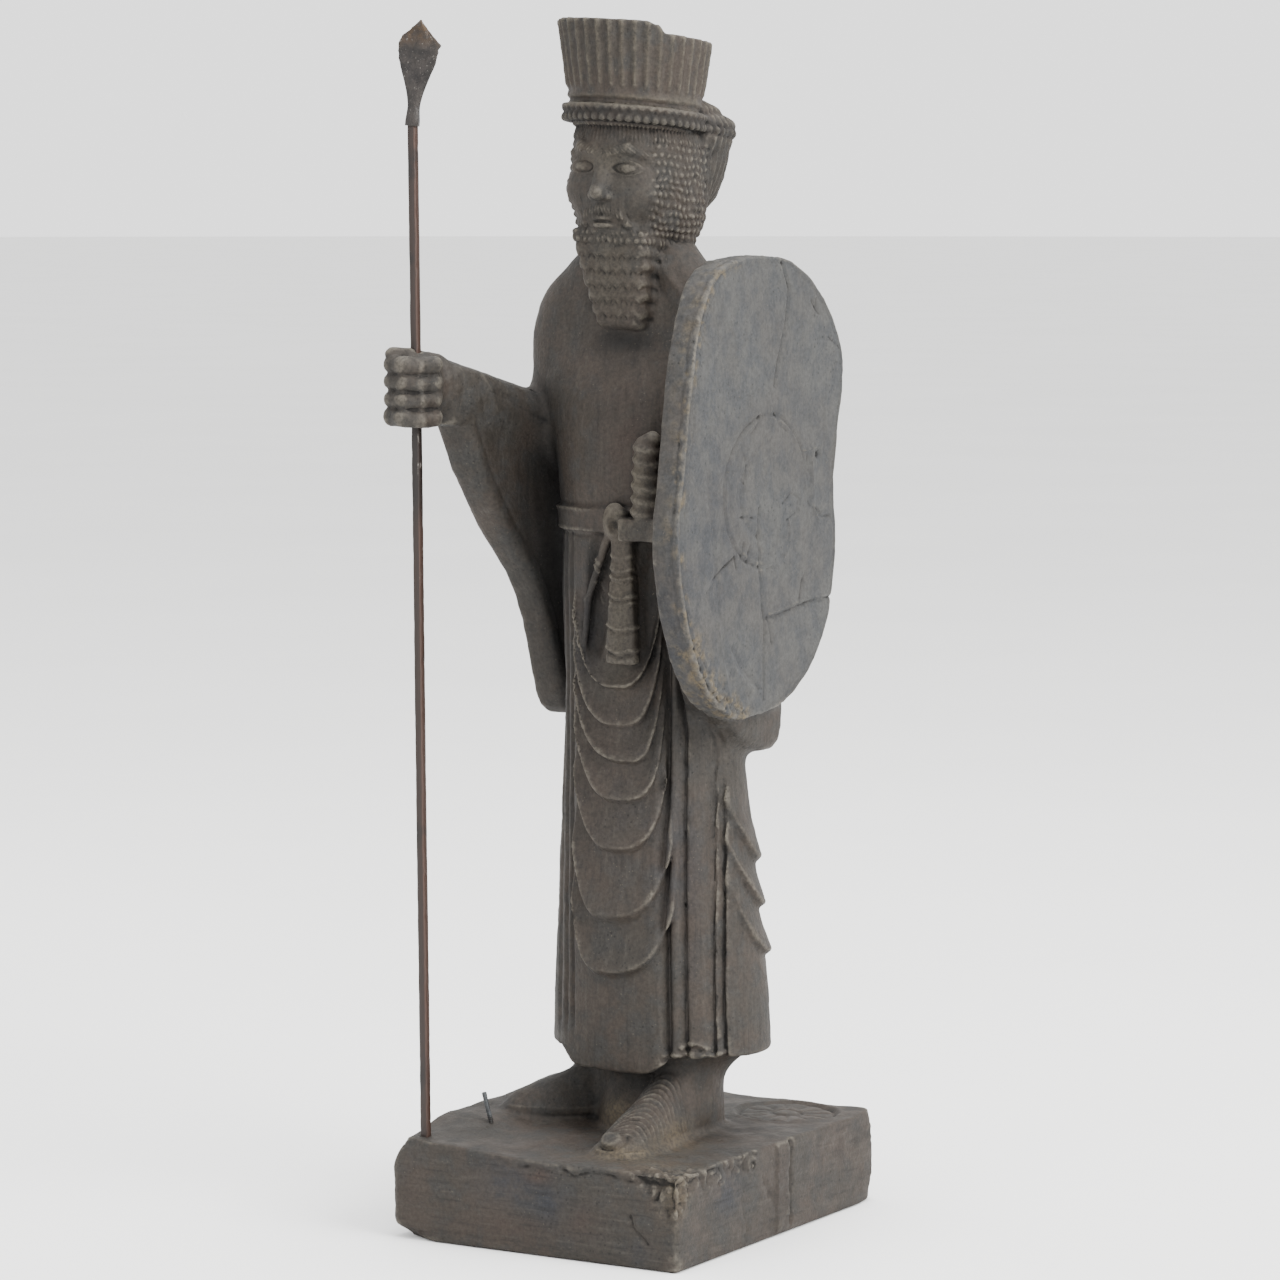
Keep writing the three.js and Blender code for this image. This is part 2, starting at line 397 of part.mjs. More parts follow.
// the rod: a square bar from its foot to the blade
const foot = new THREE.Vector3(...SHAFT_FOOT), tip = new THREE.Vector3(...SHAFT_TOP);
const axis = tip.clone().sub(foot), shaftLen = axis.length(); axis.normalize();
const lean = new THREE.Quaternion().setFromUnitVectors(new THREE.Vector3(0, 0, 1), axis);
function bar(side, from, to) {                // square bar along the rod's axis
  const g = new THREE.BoxGeometry(side, side, to - from);
  g.translate(0, 0, (from + to) / 2);
  g.applyQuaternion(lean); g.translate(foot.x, foot.y, foot.z);
  return g;
}
const shaftGeometry = bar(SHAFT_SIDE, 0, shaftLen);

// the blade: a thin bent leaf of metal, widest near its top
const bladeHalf = (t) => {                    // half width at height fraction t
  const neck = 2.35 / (BLADE_W / 2);
  if (t < 0.76) return (BLADE_W / 2) * (neck + (1 - neck) * smooth(0.05, 0.80, t) ** 1.15);
  return (BLADE_W / 2) * 1.0 * (1 - (t - 0.76) / 0.245);
};
const bladeShape = new THREE.Shape();
const N_BLADE = 12;
for (let i = 0; i <= N_BLADE; i += 1) {
  const t = i / N_BLADE, w = max(bladeHalf(t), 0.25);
  if (i === 0) bladeShape.moveTo(w, 0); else bladeShape.lineTo(w, t * BLADE_H);
}
for (let i = N_BLADE; i >= 0; i -= 1) { const t = i / N_BLADE; bladeShape.lineTo(-max(bladeHalf(t), 0.25), t * BLADE_H); }
const bladeGeometry = new THREE.ExtrudeGeometry(bladeShape, { depth: BLADE_T, bevelEnabled: false, steps: 1 });
bladeGeometry.translate(0, 0, -BLADE_T / 2);
bladeGeometry.rotateZ(-BLADE_LEAN * deg);
bladeGeometry.translate(0, 0.25, 0);
bladeGeometry.rotateX(PI / 2);                // stands up, broad side to -Y
bladeGeometry.rotateZ(BLADE_TURN * deg);
bladeGeometry.applyQuaternion(lean);

// the pin: a short bent wire peg
const pinCurve = new THREE.CatmullRomCurve3([[-43.8, -46.5, 40.9], [-44.4, -46.5, 45.0], [-46.0, -46.8, 51.0], [-47.4, -46.9, 56.5]].map((p) => new THREE.Vector3(...p)));
const ringShape = (r, n = 8) => {
  const s = new THREE.Shape();
  for (let i = 0; i < n; i += 1) { const a = i * 2 * PI / n; if (i) s.lineTo(r * cos(a), r * sin(a)); else s.moveTo(r, 0); }
  return s;
};
const pinOf = (r, curve) => new THREE.ExtrudeGeometry(ringShape(r), { steps: 6, bevelEnabled: false, extrudePath: curve });

// the casting, cut flat below, with clear holes for the rod and the pin
const raw = surfaceOf(statue, [-80, -100, -8], [80, 96, 510], GRID);
const kept = simplify(raw, STATUE_FACES);
const below = new THREE.BoxGeometry(300, 300, 60); below.translate(0, 0, -30);
const pinHole = new THREE.CatmullRomCurve3([[-43.74, -46.5, 40.5], [-44.4, -46.5, 45.0], [-46.0, -46.8, 51.0]].map((p) => new THREE.Vector3(...p)));
let casting = solidFrom(kept.verts, kept.tris);
casting = casting.subtract(solidOf(below));
casting = casting.subtract(solidOf(bar(SHAFT_SIDE + 2 * SHAFT_GAP, -SHAFT_GAP, 360)));
casting = casting.subtract(solidOf(pinOf(PIN_R + 0.3, pinHole)));

const material = (color, roughness, metalness) => new THREE.MeshStandardMaterial({ color, roughness, metalness });
function node(name, geometry, mat, at) {
  const mesh = new THREE.Mesh(geometry, mat);
  mesh.name = name;
  if (at) mesh.position.copy(at);
  return mesh;
}
const group = new THREE.Group();
group.add(node('statue', geometryOf(casting), material(PATINA, 0.85, 0.0)));
group.add(node('spear_shaft', shaftGeometry, material(COPPER, 0.55, 0.6)));
group.add(node('spear_head', bladeGeometry, material(IRON, 0.6, 0.7), tip.clone().addScaledVector(axis, 0.3)));
group.add(node('plinth_pin', pinOf(PIN_R, pinCurve), material(WIRE, 0.5, 0.7)));

export default group;
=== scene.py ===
import math
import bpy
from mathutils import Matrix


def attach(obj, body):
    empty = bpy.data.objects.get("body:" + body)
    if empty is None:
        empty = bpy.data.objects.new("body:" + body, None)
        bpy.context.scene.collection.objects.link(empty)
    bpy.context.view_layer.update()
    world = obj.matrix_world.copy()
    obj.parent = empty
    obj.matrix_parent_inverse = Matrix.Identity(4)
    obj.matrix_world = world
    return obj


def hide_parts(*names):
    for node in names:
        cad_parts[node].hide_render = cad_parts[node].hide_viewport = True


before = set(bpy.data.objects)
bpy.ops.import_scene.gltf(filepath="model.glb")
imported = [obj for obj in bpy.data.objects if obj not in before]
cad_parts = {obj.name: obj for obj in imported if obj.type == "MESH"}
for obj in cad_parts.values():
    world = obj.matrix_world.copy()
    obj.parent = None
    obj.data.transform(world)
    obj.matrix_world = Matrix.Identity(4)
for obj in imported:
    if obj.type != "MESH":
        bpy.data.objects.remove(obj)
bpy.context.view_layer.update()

from concurrent.futures import ThreadPoolExecutor
import bmesh
import bpy
import numpy as np

# ---------------------------------------------------------------- helpers
# The casting is one solid described by a distance field in millimetres: origin at the centre of the plinth's
# underside, +Z up, the figure faces -Y and its left side is +X.
F32 = np.float32


def smooth(a, b, v):
    t = np.clip((v - a) / (b - a), 0, 1)
    return t * t * (3 - 2 * t)


def smin(a, b, k):
    h = np.clip(0.5 + 0.5 * (b - a) / k, 0, 1)
    return b + (a - b) * h - k * h * (1 - h)


def smax(a, b, k):
    return -smin(-a, -b, k)


def ln(*c):
    s = 0
    for q in c:
        s = s + q * q
    return np.sqrt(s)


class Spline:
    """smooth interpolation of rows [t, v1, v2, ...]"""

    def __init__(self, rows):
        p = np.array(rows, float)
        self.t, self.v = p[:, 0], p[:, 1:]
        n = len(p)
        self.m = np.zeros_like(self.v)
        for i in range(n):
            a, b = max(0, i - 1), min(n - 1, i + 1)
            self.m[i] = (self.v[b] - self.v[a]) / (self.t[b] - self.t[a])

    def __call__(self, z):
        t = self.t
        z = np.clip(z, t[0], t[-1])
        i = np.clip(np.searchsorted(t, z, side="right") - 1, 0, len(t) - 2)
        h = t[i + 1] - t[i]
        u = (z - t[i]) / h
        u2, u3 = u * u, u * u * u
        a, b, c, d = 2 * u3 - 3 * u2 + 1, (u3 - 2 * u2 + u) * h, -2 * u3 + 3 * u2, (u3 - u2) * h
        return [(a * self.v[i, k] + b * self.m[i, k] + c * self.v[i + 1, k] + d * self.m[i + 1, k]).astype(F32)
                for k in range(self.v.shape[1])]


def ell(X, Y, a, b):
    qx, qy = X / a, Y / b
    q = np.sqrt(qx * qx + qy * qy) + 1e-6
    return q * (q - 1) / (np.sqrt((qx / a) ** 2 + (qy / b) ** 2) + 1e-6)


def ellipsoid(X, Y, Z, a, b, c):
    qx, qy, qz = X / a, Y / b, Z / c
    q = np.sqrt(qx * qx + qy * qy + qz * qz) + 1e-6
    return q * (q - 1) / (np.sqrt((qx / a) ** 2 + (qy / b) ** 2 + (qz / c) ** 2) + 1e-6)


def limb(x, y, z, A, B, ra, rb=None):
    rb = ra if rb is None else rb
    d = [B[i] - A[i] for i in range(3)]
    L = d[0] ** 2 + d[1] ** 2 + d[2] ** 2
    t = np.clip(((x - A[0]) * d[0] + (y - A[1]) * d[1] + (z - A[2]) * d[2]) / L, 0, 1)
    return ln(x - A[0] - d[0] * t, y - A[1] - d[1] * t, z - A[2] - d[2] * t) - (ra + (rb - ra) * t)


def block(X, Y, Z, a, b, c, r=0.0):
    dx, dy, dz = np.abs(X) - (a - r), np.abs(Y) - (b - r), np.abs(Z) - (c - r)
    return ln(np.maximum(dx, 0), np.maximum(dy, 0), np.maximum(dz, 0)) + np.minimum(np.maximum(dx, np.maximum(dy, dz)), 0) - r


def outline(px, py, V):
    """signed distance to a closed outline"""
    V = np.array(V, float)
    d = np.full(px.shape, 1e9, F32)
    s = np.ones(px.shape, F32)
    j = len(V) - 1
    for i in range(len(V)):
        ex, ey = V[j] - V[i]
        wx, wy = px - V[i, 0], py - V[i, 1]
        t = np.clip((wx * ex + wy * ey) / (ex * ex + ey * ey), 0, 1)
        d = np.minimum(d, (wx - ex * t) ** 2 + (wy - ey * t) ** 2)
        c1, c2, c3 = py >= V[i, 1], py < V[j, 1], ex * wy > ey * wx
        s = np.where((c1 & c2 & c3) | (~c1 & ~c2 & ~c3), -s, s)
        j = i
    return s * np.sqrt(d)


def rounded(V, n=3):
    """Catmull-Rom refinement of a closed outline"""
    V = np.array(V, float)
    out = []
    m = len(V)
    for i in range(m):
        p0, p1, p2, p3 = V[i - 1], V[i], V[(i + 1) % m], V[(i + 2) % m]
        for k in range(n):
            t = k / n
            out.append(0.5 * (2 * p1 + (p2 - p0) * t + (2 * p0 - 5 * p1 + 4 * p2 - p3) * t * t + (3 * p1 - p0 - 3 * p2 + p3) * t ** 3))
    return np.array(out)


def hash3(i, j, k, seed):
    h = (i.astype(np.int64) * 374761393 + j.astype(np.int64) * 668265263 + k.astype(np.int64) * 2147483647 + seed * 1274126177) & 0xFFFFFFFF
    h = ((h ^ (h >> 13)) * 1274126177) & 0xFFFFFFFF
    h = ((h ^ (h >> 16)) * 2246822519) & 0xFFFFFFFF
    return ((h ^ (h >> 15)) & 0xFFFF).astype(F32) / 32767.5 - 1.0


def noise(x, y, z, size, seed=0):
    """smooth value noise, -1 to 1"""
    x, y, z = x / size, y / size, z / size
    i, j, k = np.floor(x).astype(np.int64), np.floor(y).astype(np.int64), np.floor(z).astype(np.int64)
    fx, fy, fz = (x - i).astype(F32), (y - j).astype(F32), (z - k).astype(F32)
    fx, fy, fz = fx * fx * (3 - 2 * fx), fy * fy * (3 - 2 * fy), fz * fz * (3 - 2 * fz)
    v = 0
    for a in (0, 1):
        for b in (0, 1):
            for c in (0, 1):
                w = (fx if a else 1 - fx) * (fy if b else 1 - fy) * (fz if c else 1 - fz)
                v = v + w * hash3(i + a, j + b, k + c, seed)
    return v


def fbm(x, y, z, size, seed=0, octaves=3, gain=0.5):
    v, a = 0, 1.0
    for o in range(octaves):
        v = v + a * noise(x, y, z, size / 2 ** o, seed + o * 17)
        a *= gain
    return v


# ---------------------------------------------------------------- sizes
PL_X, PL_Y, PL_H = 68.8, 85.6, 39.0
HEM = 70.0
BODY = Spline([
    [60, 8.3, 6, 48.5, 37], [72, 8.5, 5.5, 48.5, 37.5], [100, 8.3, 5, 47.5, 37], [135, 7.6, 4, 44.2, 36],
    [178, 6.8, 3, 40.8, 34.3], [225, 5.2, 2, 37.6, 32], [265, 3.5, 1, 37, 29.5], [295, 2, 0, 35.5, 27.5],
    [330, 1, -0.5, 38, 27.2], [348, 0, -0.2, 41.8, 25.5], [358, -0.5, 0, 44.3, 23], [375, -0.8, 1, 46.9, 17.5], [390, -0.8, 1.8, 42.2, 15.5],
    [400, -1, 2.4, 34.9, 15.2], [409, -1, 3.5, 26.2, 15], [416, -1, 5, 19.5, 15]])
FRONT_RIMS = [236.5, 227.5, 210.4, 196.3, 179.5, 158.5, 128.5, 106.4]
FRONT_CENTRE = Spline([[100, -5.8], [106, -5.8], [128, -5.2], [158, 1], [179, 5.5], [196, 11], [210, 8], [227, 4], [300, 3]])
SIDE_RIMS = [176, 152, 133, 113]
HEAD_X, HEAD_Y = -2.3, 0.6
BUN = Spline([[415, 17, 12, 13], [424, 20, 18, 19], [430, 21, 22.5, 24], [442, 21, 26.8, 29], [449, 21, 28, 30.5], [455, 21, 30, 32.5],
              [459.5, 20.5, 30.8, 33.5], [463.5, 17, 28, 31], [468, 13, 25, 27], [472, 10, 22, 23]])
SHIELD = rounded([[-2.8, 406.4], [14, 405.6], [27.4, 401.6], [49.5, 388.2], [63.2, 370.6], [66.4, 357.5], [63.0, 336.5],
                  [58.4, 313.5], [60.6, 294.4], [60.4, 277.5], [54.6, 256.1], [42, 238], [24.3, 224.7], [6.8, 219], [-10, 217.6],
                  [-27.4, 218.4], [-48.3, 230.4], [-60, 246.8], [-68, 265.8], [-72, 286.4], [-72, 302.4], [-69, 318.4], [-65.8, 338.3],
                  [-62.7, 358.1], [-57.9, 374.3], [-50.5, 390.6], [-39, 401.8], [-20, 405.9]], 2)
SLEEVE = rounded([[-64, 360], [-47, 358], [-24, 348], [-6, 338], [10, 332], [16, 300], [16, 225], [10, 212.5], [1, 215],
                  [-4, 230], [-7, 251.7], [-14, 272.7], [-29, 291.6], [-45, 316.7], [-54, 336], [-62, 337]], 2)
LEFT_SLEEVE = rounded([[-34, 300], [16, 340], [28, 320], [31, 240], [31, 209], [23, 200], [6, 203], [-16, 216], [-34, 236]], 2)


# ---------------------------------------------------------------- robe
def hanging(al, z, centre, wl, wr, hl, hr, rims, amp, p=2.2, edge=0.86, fade=0.94, reach=1.16):
    """hanging U folds: each rim is the low edge of one fold, with a step down below it"""
    t = np.where(al < centre, (centre - al) / wl, (al - centre) / wr)
    zeta = z - np.where(al < centre, hl, hr) * np.power(np.abs(t) + 1e-4, p)
    n = len(rims)
    ph = np.interp(-zeta, [-q for q in rims], np.arange(n), left=-1, right=n)
    fr = ph - np.floor(ph)
    saw = np.power(np.clip(fr / edge, 1e-4, 1), 1.7) * smooth(1.0, edge, fr)
    return amp * saw * smooth(reach, fade, t) * (ph >= 0) * (ph < n - 1)


def robe_relief(al, x, y, z):
    k = (z - 100) / 124
    low = smooth(296, 284, z) * smooth(60, 70, z)
    mid = FRONT_CENTRE(z)[0]
    d = hanging(al, z, mid, mid + 27, 33 - mid, 28, 26, FRONT_RIMS, 3.7, 3.0, 0.80, 0.98)
    hh = np.interp(z, [115, 140], [33, 50])
    d = d + hanging(al, z, 115, 56, 50, hh, hh, SIDE_RIMS, 2.8, 2.2, 0.84, 0.4, 0.98)
    d = d + hanging(-al, z, 115, 56, 50, hh, hh, SIDE_RIMS, 2.2, 2.2, 0.84, 0.4, 0.98)
    d = d * low
    front = smooth(-1, -8, y)
    cut = smooth(69, 76, z) * smooth(286, 270, z) * front
    for xc, w, dep in ((29.7 - 2.6 * k, 1.7, 3.4), (36.4 - 3.3 * k, 1.2, 2.3), (45.3 - 4.7 * k, 1.1, 2.4), (48.2 - 5.5 * k, 1.1, 2.1)):
        d = d - dep * np.exp(-((x - xc) / w) ** 2) * cut
    for xc, w, dep in ((-20.3, 1.1, 1.3), (-15.9, 1.0, 1.3), (-25.5, 1.4, 1.0)):
        d = d - dep * np.exp(-((x - (xc - 2 * k)) / w) ** 2) * smooth(78, 90, z) * smooth(296, 288, z) * front
    d = d + 1.1 * np.sin(np.radians(al * 14)) * smooth(160, 166, np.abs(al)) * smooth(70, 84, z)
    # hollows on both sides of the hanging sash
    f = y < 0
    xl, xr = -3.0 - 0.06 * (270 - z), 21.5 + 0.02 * (270 - z)
    d = d * (1 - 0.9 * f * smooth(240, 246, z) * smooth(15, 11, np.abs(x - 8)))
    d = d - 2.8 * f * smooth(1.3, 0.6, np.sqrt(((x - xl) / 5.6) ** 2 + (np.abs(z - 266) / 27) ** 4))
    d = d - 3.0 * f * smooth(1.3, 0.6, np.sqrt(((x - xr) / 5.0) ** 2 + (np.abs(z - 263) / 27) ** 4))
    return d * smooth(296, 290, z)


def robe_field(x, y, z):
    cx, cy, a, b = BODY(z)
    X, Y = x - cx, y - cy
    al = np.degrees(np.arctan2(X / a, -Y / b)).astype(F32)
    robe = ell(X, Y, a, b) * 0.92 - robe_relief(al, x, y, z)
    hem = HEM + 4.5 - 7.0 * smooth(-46, -28, al) * smooth(34, 14, al)
    robe = smax(smax(robe, hem - z, 2), z - 414, 4)
    return robe, al


# ---------------------------------------------------------------- head
def head_coords(x, y, z):
    zb = z + 0.047 * (x - HEAD_X) + 0.091 * (y - HEAD_Y)
    return x - HEAD_X, y - HEAD_Y - 0.02 * (z - 430), zb


def head_field(x, y, z):
    X, Y, zb = head_coords(x, y, z)
    ax = np.abs(X)
    f = smin(ellipsoid(X, Y + 2, zb - 432, 24.5, 25.5, 34), ellipsoid(X, Y - 3, zb - 448, 26.5, 28, 30), 6)
    f = smin(f, smax(smax(ell(X, Y - 5, 16.5, 15.5), z - 440, 4), 395 - z, 4), 5)
    # eye hollows, cheeks
    f = smax(f, -ellipsoid(ax - 10.0, Y + 29.5, zb - 440.0, 7.6, 5.6, 5.0), 4)
    f = smin(f, ellipsoid(ax - 12.5, Y + 17.5, zb - 431.0, 8.5, 6.5, 8.0), 5)
    # beard: wide at the jaw, narrow and square at the end
    k = np.clip((zb - 374) / 40, 0, 1)
    yf, yb = -20.0 - 2.5 * k, -4 + 4 * k
    beard = block(X - 5.0 * (1 - k), Y - (yf + yb) / 2, zb - 395, 11 + 7.5 * k, (yb - yf) / 2, 20.5, 3.6)
    f = smin(f, beard * 0.9, 3)
    # hair
    cy, a, b = BUN(z)
    bun = smax(smax(ell(X, Y - cy, a, b) * 0.8, 9 + 0.10 * (z - 440) - Y, 3), np.abs(z - 444.5) - 27, 4)
    f = smin(f, bun, 2.0)
    f = smin(f, ellipsoid(ax - 22, Y - 6, z - 434, 5, 14, 24), 4)
    # nose
    f = smin(f, limb(X, Y, zb, (0, -23.2, 445), (0, -29.2, 430.5), 2.3, 3.0), 3)
    f = smin(f, ellipsoid(X, Y + 29.4, zb - 429.5, 3.0, 3.4, 2.9), 1.5)
    f = smin(f, ellipsoid(ax - 3.4, Y + 26.6, zb - 428.6, 2.2, 3.0, 2.2), 1.0)
    # brows, eyeballs, lids
    f = smin(f, limb(ax, Y, zb, (3.5, -25.2, 446.2), (11, -24.0, 448.6), 1.9, 1.7), 2.5)
    f = smin(f, limb(ax, Y, zb, (11, -24.0, 448.6), (18.5, -18.2, 446.0), 1.7, 1.2), 2.5)
    f = smin(f, ellipsoid(ax - 10.2, Y + 20.6, zb - 440.4, 6.4, 4.6, 3.6), 0.7)
    # lips and moustache
    f = smin(f, ellipsoid(X, Y + 24.2, zb - 419.6, 5.6, 2.9, 1.5), 0.8)
    f = smin(f, ellipsoid(X, Y + 24.0, zb - 416.6, 4.8, 3.0, 1.6), 0.8)
    f = smin(f, limb(ax, Y, zb, (1.2, -26.0, 423.6), (7.5, -24.0, 421.0), 1.9, 1.8), 1.2)
    f = smin(f, limb(ax, Y, zb, (7.5, -24.0, 421.0), (12.5, -20.5, 415.5), 1.8, 1.2), 1.2)
    # headband and hat
    R = ln(X, Y)
    ang = np.arctan2(X, -Y)
    f = smin(f, smax(R - 30.4, np.abs(zb - 462.6) - 3.5, 1.3), 1.2)
    flute = (0.95 * (1 - 1.35 * np.abs(np.sin(ang * 18)) ** 1.15) + 0.15) * smooth(472, 475, zb)
    chip = 3.2 * smooth(9, 12.5, 0.86 * X + 0.51 * Y) + 1.0 * smooth(4, 9, 0.86 * X + 0.51 * Y)
    hat = R - (27.0 + (zb - 468) * 0.142 + flute)
    top = zb - (500.9 - chip)
    hat = smax(smax(hat, top, 1.0), 458 - zb, 1)
    hat = smax(hat, -smax(R - 26.5, 498.6 - chip - zb, 1.5), 1.0)
    f = smin(f, hat, 0.7)
    return smin(f, smax(R - 27.7, np.abs(zb - 469.3) - 2.5, 0.9), 0.8)


# ---------------------------------------------------------------- arms, shield, belt, feet, plinth
def right_arm(x, y, z):
    f = smin(limb(x, y, z, (-33, 4, 380), (-41, 7, 345), 14, 13.5), limb(x, y, z, (-46, 0, 334), (-61, -60, 353), 13.2, 10.0), 8)
    xc = -48.5 + 0.20 * y + 0.02 * (z - 300) + 6 * smooth(290, 220, z)
    th = 7 + 1.5 * smooth(240, 330, z)
    return smin(f, smax(outline(y, z, SLEEVE), np.abs(x - xc) - th, 5), 6)


def fist(x, y, z):
    f = block(x + 61.5, y + 74.5, z - 352, 7.5, 9.5, 14, 5)
    for i in range(4):
        zf = 341.5 + 7.1 * i
        p = [(-68, -77, zf), (-66, -85, zf - 0.3), (-60, -86.8, zf - 0.8), (-55, -82.5, zf - 1.2), (-53, -75, zf - 1)]
        for A, B in zip(p[:-1], p[1:]):
            f = smin(f, limb(x, y, z, A, B, 3.75), 0.7)
    f = smin(f, limb(x, y, z, (-58, -64, 362), (-62, -77, 365.5), 4, 3.4), 1.0)
    f = smin(f, limb(x, y, z, (-62, -77, 365.5), (-67, -84, 366.5), 3.4, 2.9), 1.0)
    return smin(f, limb(x, y, z, (-61, -56, 352), (-62, -70, 353), 9.8, 10.2), 4)


def left_side(x, y, z):
    f = smin(limb(x, y, z, (33, 4, 380), (47, 8, 330), 14), limb(x, y, z, (44, 8, 330), (46, -20, 300), 13, 11), 8)
    return smin(f, smax(outline(y, z, LEFT_SLEEVE), np.abs(x - 44.5) - 8.5, 5), 6)


def shield_field(x, y, z):
    xf = 62.0 - 0.00012 * (y * y + (z - 310) ** 2 * 0.3)
    d = outline(y, z, SHIELD)
    return smax(d, np.maximum(x - xf, xf - 12.5 - x), 2.2)


def belt_field(x, y, z, robe):
    f = smax(smax(robe - 1.4, np.abs(z - 297.3) - 4.6, 1), y - 30, 1)
    # the knot: a loop over the belt
    knot = ellipsoid(x - 7.2, y + 30.5, z - 297.5, 5.6, 4.6, 7.6)
    knot = smax(knot, -ellipsoid(x - 8.6, y + 36.5, z - 295.5, 2.6, 4.0, 4.6), 1.2)
    f = smin(f, knot, 1)
    # the hanging end of the sash, wider towards its foot
    w = 4.9 + 2.2 * smooth(288, 240, z)
    sx = x - 10.2 - 0.012 * (290 - z)
    sash = smax(smax(np.abs(sx) - w, np.abs(y + 28.5 + 0.045 * (290 - z)) - 3.6 + 0.03 * sx * sx, 1.2), np.abs(z - 265) - 26.5, 1.6)
    f = smin(f, sash, 1.0)
    # a second, flatter strand to its right hand
    f = smin(f, limb(x, y, z, (3.6, -29.6, 292), (-8.2, -26.6, 264), 1.9, 1.5), 1.6)
    f = smin(f, limb(x, y, z, (-8.2, -26.6, 264), (-9.2, -28.4, 243), 1.5, 1.2), 1.6)
    grip = limb(x, y, z, (22.0, -31.0, 301), (22.8, -32.0, 327), 5.9, 5.5) - 0.55 * np.cos((z - 301) * 2 * np.pi / 5.4 + 0.25 * (x - 22))
    f = smin(f, smin(grip, limb(x, y, z, (22.8, -32.0, 329), (25.5, -31.6, 331.5), 4.6, 3.6), 1.5), 1)
    return smin(f, block(x - 20.5, y + 30.5, z - 294.2, 9.4, 5.4, 4.6, 1.2), 0.8)


FOOT = Spline([[-66, 2, 2], [-63.5, 6.5, 5.0], [-60, 9.6, 7.6], [-55, 11.6, 9.8], [-45, 12.9, 13.6], [-30, 12.3, 20.5], [-15, 11.3, 29], [0, 10.8, 33], [14, 9, 30], [20, 5, 24]])


def foot_field(X, Y, Z):
    """one foot, toe towards -Y, its sole at Z = 0"""
    w, h = FOOT(Y)
    q = np.sqrt((X / w) ** 2 + (np.maximum(Z, 0) / h) ** 2)
    f = (q - 1) * np.minimum(w, h) * 0.85
    sole = smax(smax(np.abs(X) - w - 0.6, np.abs(Z - 1.4) - 1.6, 0.8), np.abs(Y + 23) - 42.3, 2)
    return smin(smax(f, np.abs(Y + 22) - 43.5, 3), sole, 0.8)


def feet_field(x, y, z):
    f = foot_field(x - 24.5 + 0.03 * (y + 60), y, z - 38.6)
    c, s = math.cos(math.radians(47)), math.sin(math.radians(47))
    X, Y = (x + 20) * c - (y - 8) * s, (x + 20) * s + (y - 8) * c
    f = smin(f, foot_field(X, Y - 21, z - 43.0 + 0.03 * (Y - 20)), 4)
    for hx, hy in ((24, -4), (-22, 10)):
        f = smin(f, limb(x, y, z, (hx - 1, hy + 4, 52), (hx - 2, hy + 10, 84), 12, 16), 8)
    # filled ground between the feet
    return smin(f, ellipsoid(x - 4, y + 4, z - 40, 18, 16, 22), 6)


def stand_field(x, y, z):
    """the solid mass under the robe, spreading out to meet the hem behind and at the left"""
    t = smooth(54, 79, z) ** 1.6
    return smax(ell(x - 5 - 4.5 * t, y - 12, 26 + 12 * t, 25 + 9 * t) * 0.9, z - 84, 3)


def plinth_top(x, y):
    top = PL_H + 3.0 * smooth(10, -60, x)
    return top + (3.5 * smooth(-30, -52, x) * smooth(-75, -40, y) + 8 * np.exp(-(((x + 42) / 26) ** 2 + ((y - 48) / 30) ** 2))) \
        * smooth(-90, -40, y) * smooth(85, 70, y)


def plinth_field(x, y, z):
    rc = np.where(y < 0, np.where(x < 0, 4.5, 2.0), 6.0)
    dx, dy = np.abs(x) - (PL_X - rc), np.abs(y) - (PL_Y - rc)
    side = ln(np.maximum(dx, 0), np.maximum(dy, 0)) + np.minimum(np.maximum(dx, dy), 0) - rc
    # the outer corners are worn in towards the underside and the top
    worn = smooth(56, 69, x) * smooth(66, 86, y) + smooth(-52, -69, x) * smooth(60, 86, y)
    side = side + worn * (2.2 * smooth(12, 0, z) + 2.4 * smooth(30, 42, z))
    near = smooth(-46, -67, x) * smooth(-52, -84, y)
    side = side + near * (9.0 * smooth(7, -1, z) + 7.0 * smooth(29, 46, z))
    return smax(side, z - plinth_top(x, y), 1.6)


SHAFT_FOOT, SHAFT_TOP = np.array([-57.6, -76.0, 40.6]), np.array([-61.9, -76.0, 461.0])


def shaft_hole(x, y, z):
    d = (SHAFT_TOP - SHAFT_FOOT) / (SHAFT_TOP[2] - SHAFT_FOOT[2])
    X, Y = x - SHAFT_FOOT[0] - d[0] * (z - SHAFT_FOOT[2]), y - SHAFT_FOOT[1]
    return np.maximum(np.maximum(np.abs(X), np.abs(Y)) - 1.95, 40.4 - z)


